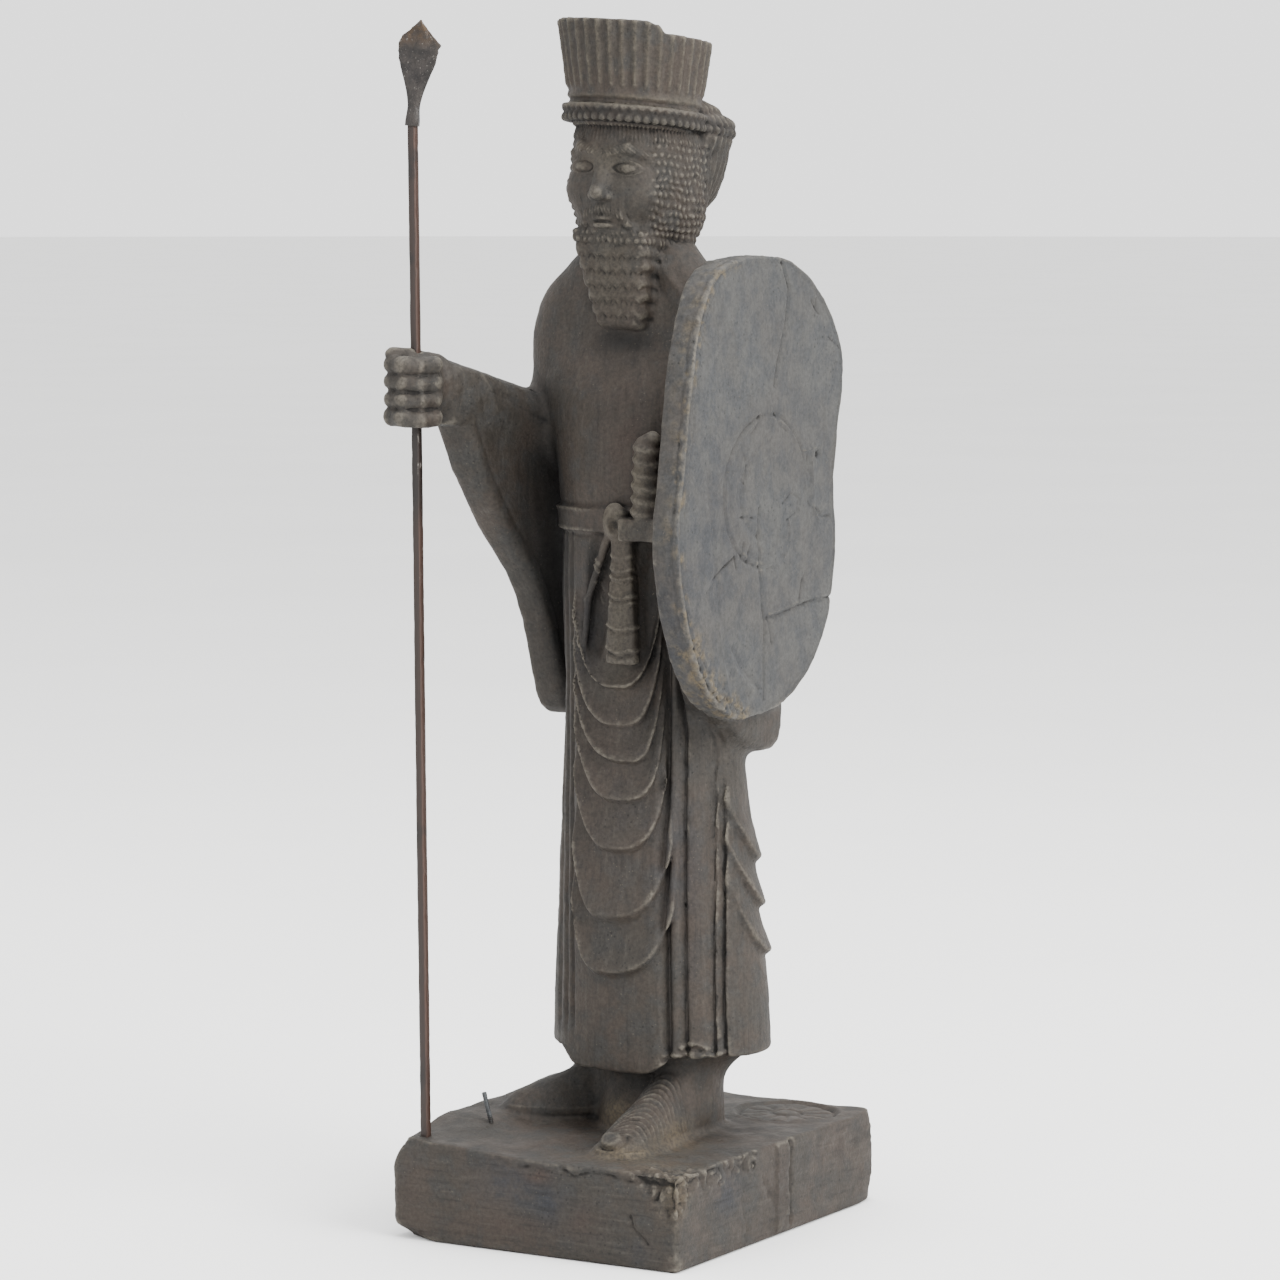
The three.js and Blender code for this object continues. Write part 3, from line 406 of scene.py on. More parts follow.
def statue_field(x, y, z):
    x, y, z = x.astype(F32), y.astype(F32), z.astype(F32)
    f = np.full(x.shape, 60.0, F32)
    robe = np.full(x.shape, 60.0, F32)

    def add(m, fn, k):
        if m.any():
            f[m] = smin(f[m], fn(x[m], y[m], z[m]), k)

    m = z > 36
    if m.any():
        robe[m] = robe_field(x[m], y[m], z[m])[0]
        f = robe.copy()
    add((z > 30) & (z < 100), stand_field, 5)
    add((z > 25) & (z < 115), feet_field, 5)
    add(z < 75, plinth_field, 4)
    add((z > 358), head_field, 2)
    add((x < -8) & (z > 190) & (z < 412), right_arm, 9)
    add((x < -36) & (y < -40) & (z > 318) & (z < 386), fist, 3)
    add((x > 4) & (z > 180) & (z < 412), left_side, 7)
    add((x > 32) & (z > 200) & (z < 424), shield_field, 1.5)
    m = (z > 222) & (z < 352) & (y < 45)
    if m.any():
        f[m] = smin(f[m], belt_field(x[m], y[m], z[m], robe[m]), 1.2)
    m = (x < -48) & (y < -64)
    if m.any():
        f[m] = np.maximum(f[m], -shaft_hole(x[m], y[m], z[m]))
    return np.maximum(f, -z)

# ---------------------------------------------------------------- surface of the field
def axis_steps(spans):
    """grid lines: spans are (start, end, step)"""
    out = [spans[0][0]]
    for a, b, h in spans:
        n = max(1, int(round((b - a) / h)))
        out += list(a + (b - a) * np.arange(1, n + 1) / n)
    return np.array(out)


def sample(field, gx, gy, gz, block_n=8, lip=1.35):
    """field on a grid, evaluated only near the surface; far blocks take their centre's value"""
    n = np.array([len(gx), len(gy), len(gz)])
    nb = -(-n // block_n)
    pad = nb * block_n

    def padded(g, m):
        h = g[-1] - g[-2]
        return np.concatenate([g, g[-1] + h * np.arange(1, m - len(g) + 1)])

    px, py, pz = padded(gx, pad[0]), padded(gy, pad[1]), padded(gz, pad[2])
    F = np.empty(pad, F32)
    bi = np.stack(np.meshgrid(*[np.arange(k) for k in nb], indexing="ij"), -1).reshape(-1, 3)
    lo = np.stack([p[bi[:, a] * block_n] for a, p in enumerate((px, py, pz))], -1)
    hi = np.stack([p[bi[:, a] * block_n + block_n - 1] for a, p in enumerate((px, py, pz))], -1)
    step = (hi - lo) / (block_n - 1)
    mid, rad = (lo + hi) / 2, np.linalg.norm(hi - lo + 2 * step, axis=1) / 2
    fm = field(mid[:, 0], mid[:, 1], mid[:, 2])
    far = np.abs(fm) > rad * lip + 2.0
    view = F.reshape(nb[0], block_n, nb[1], block_n, nb[2], block_n)
    view[...] = fm.reshape(nb[0], 1, nb[1], 1, nb[2], 1)
    near = bi[~far]
    o = np.stack(np.meshgrid(*[np.arange(block_n)] * 3, indexing="ij"), -1).reshape(-1, 3)

    def work(s):
        ii = (near[s:s + 900, None, :] * block_n + o[None]).reshape(-1, 3)
        F[ii[:, 0], ii[:, 1], ii[:, 2]] = field(px[ii[:, 0]], py[ii[:, 1]], pz[ii[:, 2]])

    with ThreadPoolExecutor(4) as ex:
        list(ex.map(work, range(0, len(near), 900)))
    return F[:n[0], :n[1], :n[2]]


def nets(F, gx, gy, gz):
    """surface nets on a rectilinear grid: vertices and outward quads"""
    S = F < 0
    c = [(i, j, k) for i in (0, 1) for j in (0, 1) for k in (0, 1)]

    def cell(A, i, j, k):
        return A[i:A.shape[0] - 1 + i, j:A.shape[1] - 1 + j, k:A.shape[2] - 1 + k]

    low, high = cell(S, 0, 0, 0).copy(), cell(S, 0, 0, 0).copy()
    for q in c[1:]:
        low |= cell(S, *q)
        high &= cell(S, *q)
    act = low & ~high
    idx = np.argwhere(act)
    vid = np.full(act.shape, -1, np.int32)
    vid[tuple(idx.T)] = np.arange(len(idx))
    acc, w = np.zeros((len(idx), 3)), np.zeros(len(idx))
    for ax in range(3):
        o1, o2 = [a for a in range(3) if a != ax]
        for a in (0, 1):
            for b in (0, 1):
                p = [0, 0, 0]
                p[o1], p[o2] = a, b
                q = list(p)
                q[ax] = 1
                A = F[idx[:, 0] + p[0], idx[:, 1] + p[1], idx[:, 2] + p[2]]
                B = F[idx[:, 0] + q[0], idx[:, 1] + q[1], idx[:, 2] + q[2]]
                m = (A < 0) != (B < 0)
                t = A[m] / (A[m] - B[m])
                P = np.tile(np.array(p, float), (m.sum(), 1))
                P[:, ax] += t
                acc[m] += P
                w += m
    fr = acc / w[:, None]
    V = np.stack([g[idx[:, a]] + fr[:, a] * (g[idx[:, a] + 1] - g[idx[:, a]]) for a, g in enumerate((gx, gy, gz))], -1)
    quads = []
    for ax in range(3):
        o1, o2 = [a for a in range(3) if a != ax]
        a, b = [slice(None)] * 3, [slice(None)] * 3
        a[ax], b[ax] = slice(0, -1), slice(1, None)
        E = np.argwhere(S[tuple(a)] != S[tuple(b)])
        E = E[(E[:, o1] > 0) & (E[:, o2] > 0) & (E[:, o1] < F.shape[o1] - 1) & (E[:, o2] < F.shape[o2] - 1)]
        inside = S[tuple(E.T)]

        def at(d1, d2):
            q = E.copy()
            q[:, o1] -= d1
            q[:, o2] -= d2
            return vid[tuple(q.T)]

        q = np.stack([at(1, 1), at(0, 1), at(0, 0), at(1, 0)], 1)
        if ax == 1:
            inside = ~inside
        q[~inside] = q[~inside][:, ::-1]
        quads.append(q)
    return V, np.concatenate(quads)


def in_threads(fn, V, step=60000):
    """fn on slices of the points, in threads"""
    parts = [V[i:i + step] for i in range(0, len(V), step)]
    with ThreadPoolExecutor(4) as ex:
        return np.concatenate(list(ex.map(fn, parts)))


def gradient(field, V, h=0.35):
    def g(P):
        out = np.empty((len(P), 3))
        for a in range(3):
            A, B = P.copy(), P.copy()
            A[:, a] += h
            B[:, a] -= h
            out[:, a] = field(A[:, 0], A[:, 1], A[:, 2]) - field(B[:, 0], B[:, 1], B[:, 2])
        return out / (2 * h)
    return in_threads(g, V)


def vertex_normals(V, Q):
    d1, d2 = V[Q[:, 2]] - V[Q[:, 0]], V[Q[:, 3]] - V[Q[:, 1]]
    N = np.cross(d1, d2)
    out = np.zeros_like(V)
    for k in range(4):
        for a in range(3):
            out[:, a] += np.bincount(Q[:, k], N[:, a], len(V))
    return out / (np.linalg.norm(out, axis=1)[:, None] + 1e-12)

# ---------------------------------------------------------------- fine relief, millimetres along the surface normal
def groove(u, v, pts, w):
    """1 on a polyline drawn on a flat face, falling off over w"""
    d = np.full(u.shape, 1e9, F32)
    for (a, b), (c, e) in zip(pts[:-1], pts[1:]):
        L = (c - a) ** 2 + (e - b) ** 2 + 1e-9
        t = np.clip(((u - a) * (c - a) + (v - b) * (e - b)) / L, 0, 1)
        d = np.minimum(d, (u - a - t * (c - a)) ** 2 + (v - b - t * (e - b)) ** 2)
    return np.exp(-d / (w * w))


def hexes(u, v, su, sv):
    """round bumps on a staggered grid, 0 between them and 1 at each middle"""
    row = np.floor(v / sv)
    uu = u / su + 0.5 * (row % 2)
    du, dv = (uu - np.floor(uu) - 0.5) * su, (v / sv - row - 0.5) * sv
    q = np.sqrt((du / su) ** 2 + (dv / sv) ** 2) * 2
    return np.clip(1 - q * q, 0, 1)


def relief_shield(x, y, z, N):
    face = smooth(0.3, 0.8, N[:, 0]) * (x > 55)
    d = outline(y, z, SHIELD)
    front = smooth(-20, -50, y)
    wob = noise(y, z, z * 0, 9, 3) * 0.8
    r = -0.75 * np.exp(-((d + 2.6 + 0.5 * wob) / 0.75) ** 2) * (0.45 + 0.55 * front)
    r = r - 0.5 * np.exp(-((d + 5.2 + wob) / 0.5) ** 2) * front * smooth(230, 300, z)
    r = r + 0.35 * np.exp(-((d + 1.0) / 0.8) ** 2)
    # the long groove down the middle
    r = r - 1.15 * groove(y, z, [(12.7, 403.7), (17.9, 392.9), (15.4, 378.6), (12.6, 371.9), (9.6, 363.9), (6.3, 352.9)], 0.85)
    r = r - 0.9 * groove(y, z, [(-6.5, 303), (-8.0, 292), (-6.8, 276.6), (-4.3, 263.6), (-2.1, 255.2), (-2.8, 240), (-2.4, 224)], 0.75)
    # two incised rings
    ph = np.arctan2(z - 309.5, y + 0.5)
    rr = np.sqrt(((y + 0.5) / 35.2) ** 2 + ((z - 309.5) / 31.5) ** 2) + 0.018 * np.sin(3 * ph + 0.6)
    gap = 1 - smooth(0.75, 0.45, np.abs(ph + 0.75))
    r = r - 0.7 * np.exp(-((rr - 1) * 33 / 0.85) ** 2) * (0.25 + 0.75 * gap) + 0.3 * np.exp(-((rr - 0.955) * 33 / 0.8) ** 2) * gap
    left = smooth(0.1, -0.3, np.cos(ph))
    r = r - 0.5 * np.exp(-((rr - 0.62) * 33 / 0.9) ** 2) * left + 0.35 * np.exp(-((rr - 0.52) * 33 / 1.1) ** 2) * left * (0.5 + 0.5 * noise(y, z, z * 0, 5, 8))
    r = r + 0.45 * np.exp(-((rr - 0.8) * 33 / 2.2) ** 2) * left
    # marks inside the rings
    for pts, w, a in (
            ([(-22.9, 300.5), (-12, 299.6)], 0.55, -0.8), ([(-20, 314), (-17, 321), (-21, 326), (-24, 321)], 0.5, -0.5),
            ([(-20.5, 290), (-22.5, 283.5), (-17.5, 281.5), (-16, 288)], 0.5, -0.5),
            ([(13, 304), (20, 308), (27, 306), (24, 300), (16, 297)], 0.5, -0.55), ([(18, 297), (19, 287), (14, 281)], 0.55, 0.5),
            ([(30, 325), (42, 326)], 0.6, 0.7), ([(34.8, 322), (36.6, 312), (36.0, 302.8)], 1.6, -0.9), ([(38, 322), (39.8, 302)], 0.9, 0.5),
            ([(42, 300.5), (46, 297), (54.5, 296.5)], 0.7, -0.7), ([(37.5, 303), (43.5, 296)], 0.6, 0.6),
            ([(-0.4, 257.4), (10.2, 258.2), (22.2, 259.8), (37, 261.6), (56, 262.2)], 0.6, -1.0),
            ([(1, 259.2), (10.2, 260.2), (22.2, 261.9), (37, 263.2), (55, 263.6)], 0.6, 0.55),
            ([(28, 262), (29.5, 268), (31, 272)], 0.7, -0.8), ([(0, 258), (2.5, 252), (4, 247)], 0.9, -0.7),
            ([(-44.9, 276.5), (-36, 281), (-27.5, 284.6), (-26.5, 280)], 0.65, -0.9), ([(-44.9, 275), (-50, 271.5)], 0.6, -0.5),
            ([(36.9, 387.2), (43.9, 382.0)], 0.8, -1.0), ([(41.5, 388), (40, 381)], 0.6, -0.6),
            ([(52, 372), (62.5, 367)], 0.45, -0.6), ([(-32.5, 244.9), (-26, 237), (-12.5, 228.4)], 2.0, 1.0),
            ([(-28.5, 246.9), (-20, 238), (-7.5, 230)], 1.3, -0.6), ([(-40, 258), (-36, 240), (-30, 226)], 1.3, 0.5),
            ([(-49, 320), (-46, 300), (-43, 280), (-40, 262)], 1.2, -0.45), ([(10, 277), (3, 279), (-6, 278)], 0.5, 0.4),
            ([(-9, 352.6), (5, 350.5)], 0.5, 0.35), ([(-7, 341), (-10, 336), (-14, 334)], 0.8, -0.6), ([(6, 342), (10, 337), (17, 334)], 0.7, -0.5)):
        r = r + a * groove(y, z, pts, w)
    r = r - 2.0 * np.exp(-((y - 43.6) ** 2 + (z - 322.9) ** 2) / 2.2)
    flake = np.exp(-(groove_dist(y, z, [(-58, 250), (-48, 235), (-36, 226), (-20, 220)]) / 5.0) ** 2)
    chips = np.abs(noise(y * 1.3 + z * 0.6, z * 1.3 - y * 0.6, z * 0, 3.0, 21)) - 0.35
    r = r + flake * (chips * 1.7 - 0.2)
    r = r + 0.5 * noise(y, z, z * 0, 30, 31) + 0.12 * noise(y, z, z * 0, 9, 32)
    side = smooth(0.75, 0.4, np.abs(N[:, 0])) * (d > -4)
    rough = noise(x, y, z, 4.2, 41) * 0.45 + noise(x, y, z, 1.9, 42) * 0.3 - 0.6 * np.exp(-((x - 58.2 - 0.8 * noise(y, z, z * 0, 12, 43)) / 0.7) ** 2)
    return r * face + rough * side


def groove_dist(u, v, pts):
    return np.sqrt(-np.log(np.maximum(groove(u, v, pts, 40.0), 1e-30))) * 40.0


def relief_plinth(x, y, z, N):
    r = np.zeros(x.shape, F32)
    front = smooth(0.4, 0.8, -N[:, 1]) * (y < -80)
    right = smooth(0.4, 0.8, N[:, 0]) * (x > 64)
    sides = smooth(0.75, 0.4, np.abs(N[:, 2])) * (z < 38)
    # ragged shelf under the front and right top edges
    top = plinth_top(x, y)
    run = np.where(np.abs(N[:, 1]) > 0.5, x, y)
    edge = 3.0 + 1.3 * noise(run, z * 0, z * 0, 7, 51)
    jag = noise(run, z, z * 0, 2.6, 52)
    r = r - (0.9 + 0.6 * jag) * np.exp(-((top - z - edge) / 0.9) ** 2) * (front + right * smooth(-20, -60, y)) \
        * (0.35 + 0.65 * smooth(-30, 5, x))
    # broken corner, pebbly
    tri = smooth(3.5, -1.5, np.maximum(22 - z, np.maximum(-(x - 50) - (z - 38) * 0.9, (y + 68) - (z - 38) * 1.0))) * (x > 40) * (y < -60)
    peb = np.abs(noise(x, y, z, 3.4, 55)) + 0.5 * np.abs(noise(x, y, z, 1.8, 56))
    r = r + tri * (peb * 2.4 - 1.9)
    # pitted band on the right face
    band = smooth(4, 0, np.abs(y + 44) - 22) * smooth(6, 1, np.abs(z - 36 - 0.06 * (y + 44)) - 2) * right
    r = r + band * (np.abs(noise(x, y, z, 3.0, 58)) * 2.0 - 0.9)
    # mould seam on the right face
    r = r + right * (0.9 * smooth(1.4, 0, np.abs(y - 1.5) - 4.2) * smooth(-2, 4, z) * (1 + 0.4 * noise(y, z, z * 0, 5, 60))
                     - 1.1 * np.exp(-((y - 8.2 - 0.6 * noise(z, y * 0, y * 0, 7, 61)) / 0.9) ** 2) * smooth(0, 6, z))
    r = r - right * 0.7 * groove(y, z, [(-6, 41), (0, 42), (8, 39.5), (9, 36)], 1.0)
    # cracks and scuffs on the front face
    for pts, w, a in (([(47.0, 21.1), (48.5, 16), (52, 13.5), (55.4, 10.2)], 0.7, -0.9), ([(40, 12), (47, 6), (52, 5)], 0.7, -0.4),
                      ([(-38, 26), (-24, 34), (-12, 37)], 0.9, -0.35), ([(-55, 3.2), (-40, 4.4), (-10, 3.2), (20, 4.2)], 0.8, -0.5)):
        r = r + front * a * groove(x, z, pts, w)
    for pts, w, a in (([(-33, 20), (-28, 8), (-30, 2)], 1.2, -0.4), ([(-14.7, 26), (-10, 20), (-6, 17)], 1.6, -0.6), ([(60, 34), (74, 30)], 1.0, -0.4),
                      ([(30, 9), (50, 7), (72, 6)], 1.2, -0.5)):
        r = r + right * a * groove(y, z, pts, w)
    # horizontal brush and mould streaks
    r = r + sides * (0.22 * noise(run * 0.10, z, z * 0, 1.6, 63) + 0.35 * noise(run, z, z * 0, 17, 64) + 0.12 * noise(run * 0.3, z, z * 0, 2.4, 65))
    # rosette cut in the top, near the left rear corner
    up = smooth(0.6, 0.9, N[:, 2]) * (z < 52)
    X, Y = x - 39.4, y - 58.8
    R, th = np.sqrt(X * X + Y * Y), np.arctan2(Y, X)
    petals = np.abs(np.sin(th * 6)) ** 0.6
    rose = -1.3 * np.exp(-((R - 20.5) / 1.3) ** 2) + 0.5 * np.exp(-((R - 23.2) / 1.4) ** 2) - 1.1 * np.exp(-((R - 6.5) / 1.2) ** 2) \
        + (0.9 * petals - 0.9) * smooth(7.5, 9, R) * smooth(19.5, 18, R) + 0.6 * np.exp(-(R / 4.0) ** 2)
    r = r + up * rose * smooth(30, 26, R)
    # the top is worn in soft waves
    r = r + up * (0.45 * noise(x, y, z * 0, 16, 66) + 0.16 * noise(x, y, z * 0, 5, 67))
    return r * (z < 56)


def relief_robe(x, y, z, N, al):
    # cross creases in the hanging sash, tassels, belt edges, the zigzag ends of the pleats
    r = np.zeros(x.shape, F32)
    front = smooth(0.1, 0.5, -N[:, 1])
    sx = x - 10.2 - 0.012 * (290 - z)
    sash = smooth(7.8, 6.0, np.abs(sx)) * (y < -28) * (z > 236) * (z < 291)
    for zc, a in ((282, 0.3), (276.6, 0.6), (273.2, 0.6), (265.6, 0.8), (263.2, 0.4), (252.8, 0.8), (243.4, 0.8)):
        zz = zc + 0.03 * sx ** 2 + 0.8 * noise(x, z * 0, z * 0, 5, 71)
        r = r + sash * a * (np.exp(-((z - zz) / 0.7) ** 2) - 0.9 * np.exp(-((z - zz + 1.7) / 0.8) ** 2))
    for pts in ([(-3.8, 283), (-1.4, 279.5)], [(-3.6, 279), (-1.2, 275.5)], [(-3.2, 271.5), (-1.2, 268)], [(-3.0, 265.5), (-1.6, 262.5)]):
        r = r + 0.8 * groove(x, z, pts, 0.65) * front * (y < -15)
    cx, cy, a, b = BODY(z)
    on = smooth(3.5, 2.2, ell(x - cx, y - cy, a, b) * 0.92)
    belt = (np.abs(z - 297.3) < 9) * (y < 30) * on
    r = r + belt * (0.45 * np.exp(-((z - 301.4) / 0.8) ** 2) + 0.45 * np.exp(-((z - 293.2) / 0.8) ** 2) - 0.45 * np.exp(-((z - 303.8) / 0.9) ** 2) - 0.45 * np.exp(-((z - 290.8) / 0.9) ** 2))
    zig = [(28.8, 75.8), (33.5, 76.2), (36.6, 76.4), (35.6, 79.6), (38.0, 81.2), (41.6, 81.0), (44.6, 79.0), (43.6, 76.2), (46.0, 75.6), (49.0, 77.0)]
    r = r + (y < -8) * (z < 90) * (0.9 * groove(x, z, zig, 0.8) - 0.8 * groove(x, z, [(a, b - 2.3) for a, b in zig], 0.9))
    return r


def relief_head(x, y, z, N):
    X, Y, zb = head_coords(x, y, z)
    R = np.sqrt(X * X + Y * Y)
    ang = np.arctan2(X, -Y)
    arc = ang * 28.5
    r = np.zeros(x.shape, F32)
    # headband: two rolls, a row of curls below
    wav = 0.35 * noise(arc, z * 0, z * 0, 8, 81)
    on_band = (R > 25) * (np.abs(zb - 466) < 8)
    r = r + on_band * (0.45 * np.exp(-((zb - 470.0 - wav) / 0.9) ** 2) + 0.5 * np.exp(-((zb - 466.2 - wav) / 1.0) ** 2) - 0.5 * np.exp(-((zb - 468.2 - wav) / 0.8) ** 2))
    bead = hexes(arc, zb - 458.4, 3.6, 4.6)
    r = r + (R > 26) * smooth(458.0, 459.0, zb) * smooth(465.4, 464.2, zb) * (1.1 * bead - 0.75)
    # hair: fringe, side curls, beard rows, bun strands
    back = smooth(4, 16, Y)
    fringe = smooth(459.2, 458.2, zb) * smooth(450.6, 452.4, zb) * (1 - back) * (R > 18)
    r = r + fringe * (0.28 + 0.30 * np.sin(arc * 2 * np.pi / 1.9 + noise(arc, zb, zb * 0, 6, 82)))
    sx = np.abs(X)
    side = smooth(13.5, 17.5, sx + 0.22 * (Y + 8)) * smooth(-22, -16, Y) * smooth(17, 12, Y) * smooth(456, 452, zb) * smooth(404, 410, zb)
    jaw = smooth(424, 419, zb + 0.35 * sx) * smooth(377, 381, zb)
    lip = 1 - smooth(8.5, 6.0, sx) * smooth(413.0, 415.0, zb)
    low = smooth(409.5, 406.5, zb)
    curl = hexes(arc + 1.3 * noise(arc, zb, zb * 0, 5, 83), zb + 1.1 * noise(arc, zb, zb * 0, 6, 87), 3.5, 3.3)
    r = r + np.maximum(side, jaw * (1 - low) * lip) * ((0.95 + 0.35 * noise(x, y, z, 5, 88)) * curl - 0.42)
    # the end of the beard hangs in waved rows
    zz = zb + 0.8 * np.cos(X * 2 * np.pi / 5.0) + 0.5 * noise(X, zb, zb * 0, 7, 84)
    t = (zz - 379) / 6.1
    fr = t - np.floor(t)
    rows = smooth(0, 0.25, fr) * smooth(1.0, 0.45, fr)
    strand = 0.5 + 0.5 * np.cos(X * 2 * np.pi / 2.5)
    r = r + low * smooth(376, 379, zb) * smooth(-2, -8, Y) * (0.95 * rows - 0.45 + 0.28 * strand * (1 - rows))
    mst = smooth(1.2, 0, np.abs(zb - 422.8 + 0.28 * np.maximum(sx - 1, 0)) - 1.6) * smooth(13, 11, sx) * (Y < -18)
    r = r + mst * 0.28 * np.sin(sx * 4.2 + zb * 1.2)
    brow = smooth(1.0, 0, np.abs(zb - 447.2 - 0.9 * smooth(3, 11, sx) + 1.4 * smooth(12, 19, sx)) - 1.3) * smooth(20, 18, sx) * (Y < -12)
    r = r + brow * 0.22 * np.sin((sx + zb) * 3.6)
    # eyes: rims of the lids round a smooth ball
    ex, ez = (sx - 10.2) / 5.6, (zb - 440.4) / 2.5
    e = np.sqrt(ex * ex + ez * ez * (1 + 0.35 * ex * ex))
    r = r + (Y < -14) * (0.55 * np.exp(-((e - 1.18) / 0.16) ** 2) - 0.35 * np.exp(-((e - 0.9) / 0.14) ** 2))
    r = r - (Y < -14) * 0.4 * groove(sx, zb, [(4.6, 444.6), (10.0, 446.0), (16.0, 443.8)], 0.7)
    lips = smooth(5.5, 3.5, sx) * (Y < -20)
    r = r - lips * 0.5 * np.exp(-((zb - 418.1) / 0.5) ** 2)
    bun = smooth(10, 17, Y) * smooth(472, 466, z)
    sw = np.arctan2(X, Y - 12) * 24
    r = r + bun * (0.5 * np.sin(sw * 2 * np.pi / 3.4 + 1.2 * noise(sw, z, z * 0, 14, 85)) + 0.3 * noise(x, y, z, 3.2, 86)
                   + 0.35 * hexes(sw, z, 4.2, 4.2) * smooth(430, 422, z))
    return r * (z > 372)


def relief_feet(x, y, z, N):
    # straps over the left instep, a big toe with its nail, the sole's edge; the right foot is plainer
    r = np.zeros(x.shape, F32)
    X = x - 24.5 + 0.03 * (y + 60)
    foot = (z > 41) * (z < 84) * (y < 8)
    L = smooth(14, 11.5, np.abs(X)) * foot
    s = -y - 0.055 * X ** 2 + 0.55 * X + 0.5 * noise(x, y, z, 7, 95)
    fr = s / 2.9 - np.floor(s / 2.9)
    r = r + L * smooth(42.5, 45, z) * smooth(70, 62, z) * smooth(-14, -18, y) * smooth(-57, -53, y) * (0.75 + 0.4 * noise(x, y, z, 6, 96)) \
        * (smooth(0, 0.35, fr) * smooth(1, 0.45, fr) - 0.45)
    e = np.sqrt(((X + 2.2) / 6.2) ** 2 + ((z - 45.6) / 3.0) ** 2)
    toe = (y < -56) * (np.abs(X) < 12) * (z < 56)
    r = r + toe * (0.9 * smooth(1.0, 0.7, e) - 0.8 * np.exp(-((e - 1.15) / 0.16) ** 2) + 0.3 * np.exp(-((e - 0.5) / 0.2) ** 2))
    return r * smooth(3.5, 1.5, foot_field(X, y, z - 38.6))


def relief_arm(x, y, z, N):
    # the sleeve's open edge, soft folds, knuckles
    d = outline(y, z, SLEEVE)
    on = (x < -24) * (z > 205) * (z < 372) * smooth(4, 1.5, np.minimum(right_arm(x, y, z), fist(x, y, z)))
    r = on * (z < 350) * (y < 8) * (0.35 * np.exp(-((d + 2.0) / 1.6) ** 2) - 0.5 * np.exp(-((d + 5.6) / 0.9) ** 2))
    for pts, a, w in (([(-44, 352), (-30, 330), (-18, 290), (-6, 240)], 0.4, 3.0), ([(-30, 350), (-14, 318), (-3, 270), (4, 230)], -0.5, 3.2),
                      ([(-50, 352), (-47, 344), (-44, 338)], -0.5, 0.9), ([(-46, 356), (-43, 348), (-40, 342)], 0.4, 1.2)):
        r = r + on * a * groove(y, z, pts, w)
    hand = (x < -50) * (y < -62) * (z > 334) * (z < 374)
    return r + hand * (0.35 * noise(x, y, z, 3.6, 91) + 0.15 * noise(x, y, z, 1.6, 92))


def relief(P, N):
    """fine relief over the whole casting"""
    x, y, z = P[:, 0].astype(F32), P[:, 1].astype(F32), P[:, 2].astype(F32)
    r = np.zeros(len(P), F32)

    def add(m, fn):
        if m.any():
            r[m] += fn(x[m], y[m], z[m], N[m])

    cx, cy, a, b = BODY(z)
    al = np.degrees(np.arctan2((x - cx) / a, -(y - cy) / b))
    head = z > 372
    shield = (x > 44) & (z > 212)
    add(head & ~shield, lambda x, y, z, N: relief_head(x, y, z, N) * smooth(2.2, 0.9, head_field(x, y, z)))
    add(shield, relief_shield)
    add(z < 58, relief_plinth)
    add((z > 40) & (z < 86), relief_feet)
    add((x < -24) & (z > 200) & (z < 376), relief_arm)
    m = (z > 66) & (z < 312) & ~shield
    if m.any():
        r[m] += relief_robe(x[m], y[m], z[m], N[m], al[m])
    # drapery hints over the chest and shoulders, and casting unevenness
    m = (z > 300) & (z < 412) & ~shield
    if m.any():
        X, Y, Z = x[m], y[m], z[m]
        t = 0.45 * noise(X, Y, Z * 0.5, 11, 101) + 0.25 * np.sin((X * 1.1 + Z * 0.35) / 3.6 + noise(X, Y, Z, 16, 102) * 2)
        q = 0.9 * groove(X, Z, [(17, 402), (22, 396), (31, 386), (38, 372)], 1.6) - 0.8 * groove(X, Z, [(13, 400), (19, 391), (27, 380), (33, 366)], 1.4)
        r[m] += t * smooth(0.9, 0.4, np.abs(N[m][:, 2])) * 0.6 + q * (Y < 10)
    seen = 0.45 + 0.55 * smooth(-0.35, 0.1, N[:, 0] * 0.51 - N[:, 1] * 0.86)
    r += seen * (0.16 * noise(x, y, z, 4.6, 111) + 0.10 * noise(x, y, z, 2.1, 112)) + 0.25 * noise(x, y, z, 12, 113)
    # nothing at the cut underside
    return r * smooth(0.4, 2.0, z) * (np.abs(r) > 0)

# ---------------------------------------------------------------- meshes
def make_object(name, V, faces, smooth_shade=True):
    me = bpy.data.meshes.new(name)
    F = np.asarray(faces, np.int32)
    me.vertices.add(len(V))
    me.vertices.foreach_set("co", (np.asarray(V, float) / 1000).ravel())
    me.loops.add(F.size)
    me.loops.foreach_set("vertex_index", F.ravel())
    me.polygons.add(len(F))
    me.polygons.foreach_set("loop_start", np.arange(0, F.size, F.shape[1], dtype=np.int32))
    me.polygons.foreach_set("loop_total", np.full(len(F), F.shape[1], np.int32))
    me.polygons.foreach_set("use_smooth", np.full(len(F), smooth_shade))
    me.update(calc_edges=True)
    me.validate()
    ob = bpy.data.objects.new(name, me)
    bpy.context.scene.collection.objects.link(ob)
    return ob


def applied(ob):
    """the object's mesh with its modifiers applied"""
    deps = bpy.context.evaluated_depsgraph_get()
    me = bpy.data.meshes.new_from_object(ob.evaluated_get(deps))
    old = ob.data
    ob.modifiers.clear()
    ob.data = me
    me.name = old.name
    bpy.data.meshes.remove(old)
    return ob


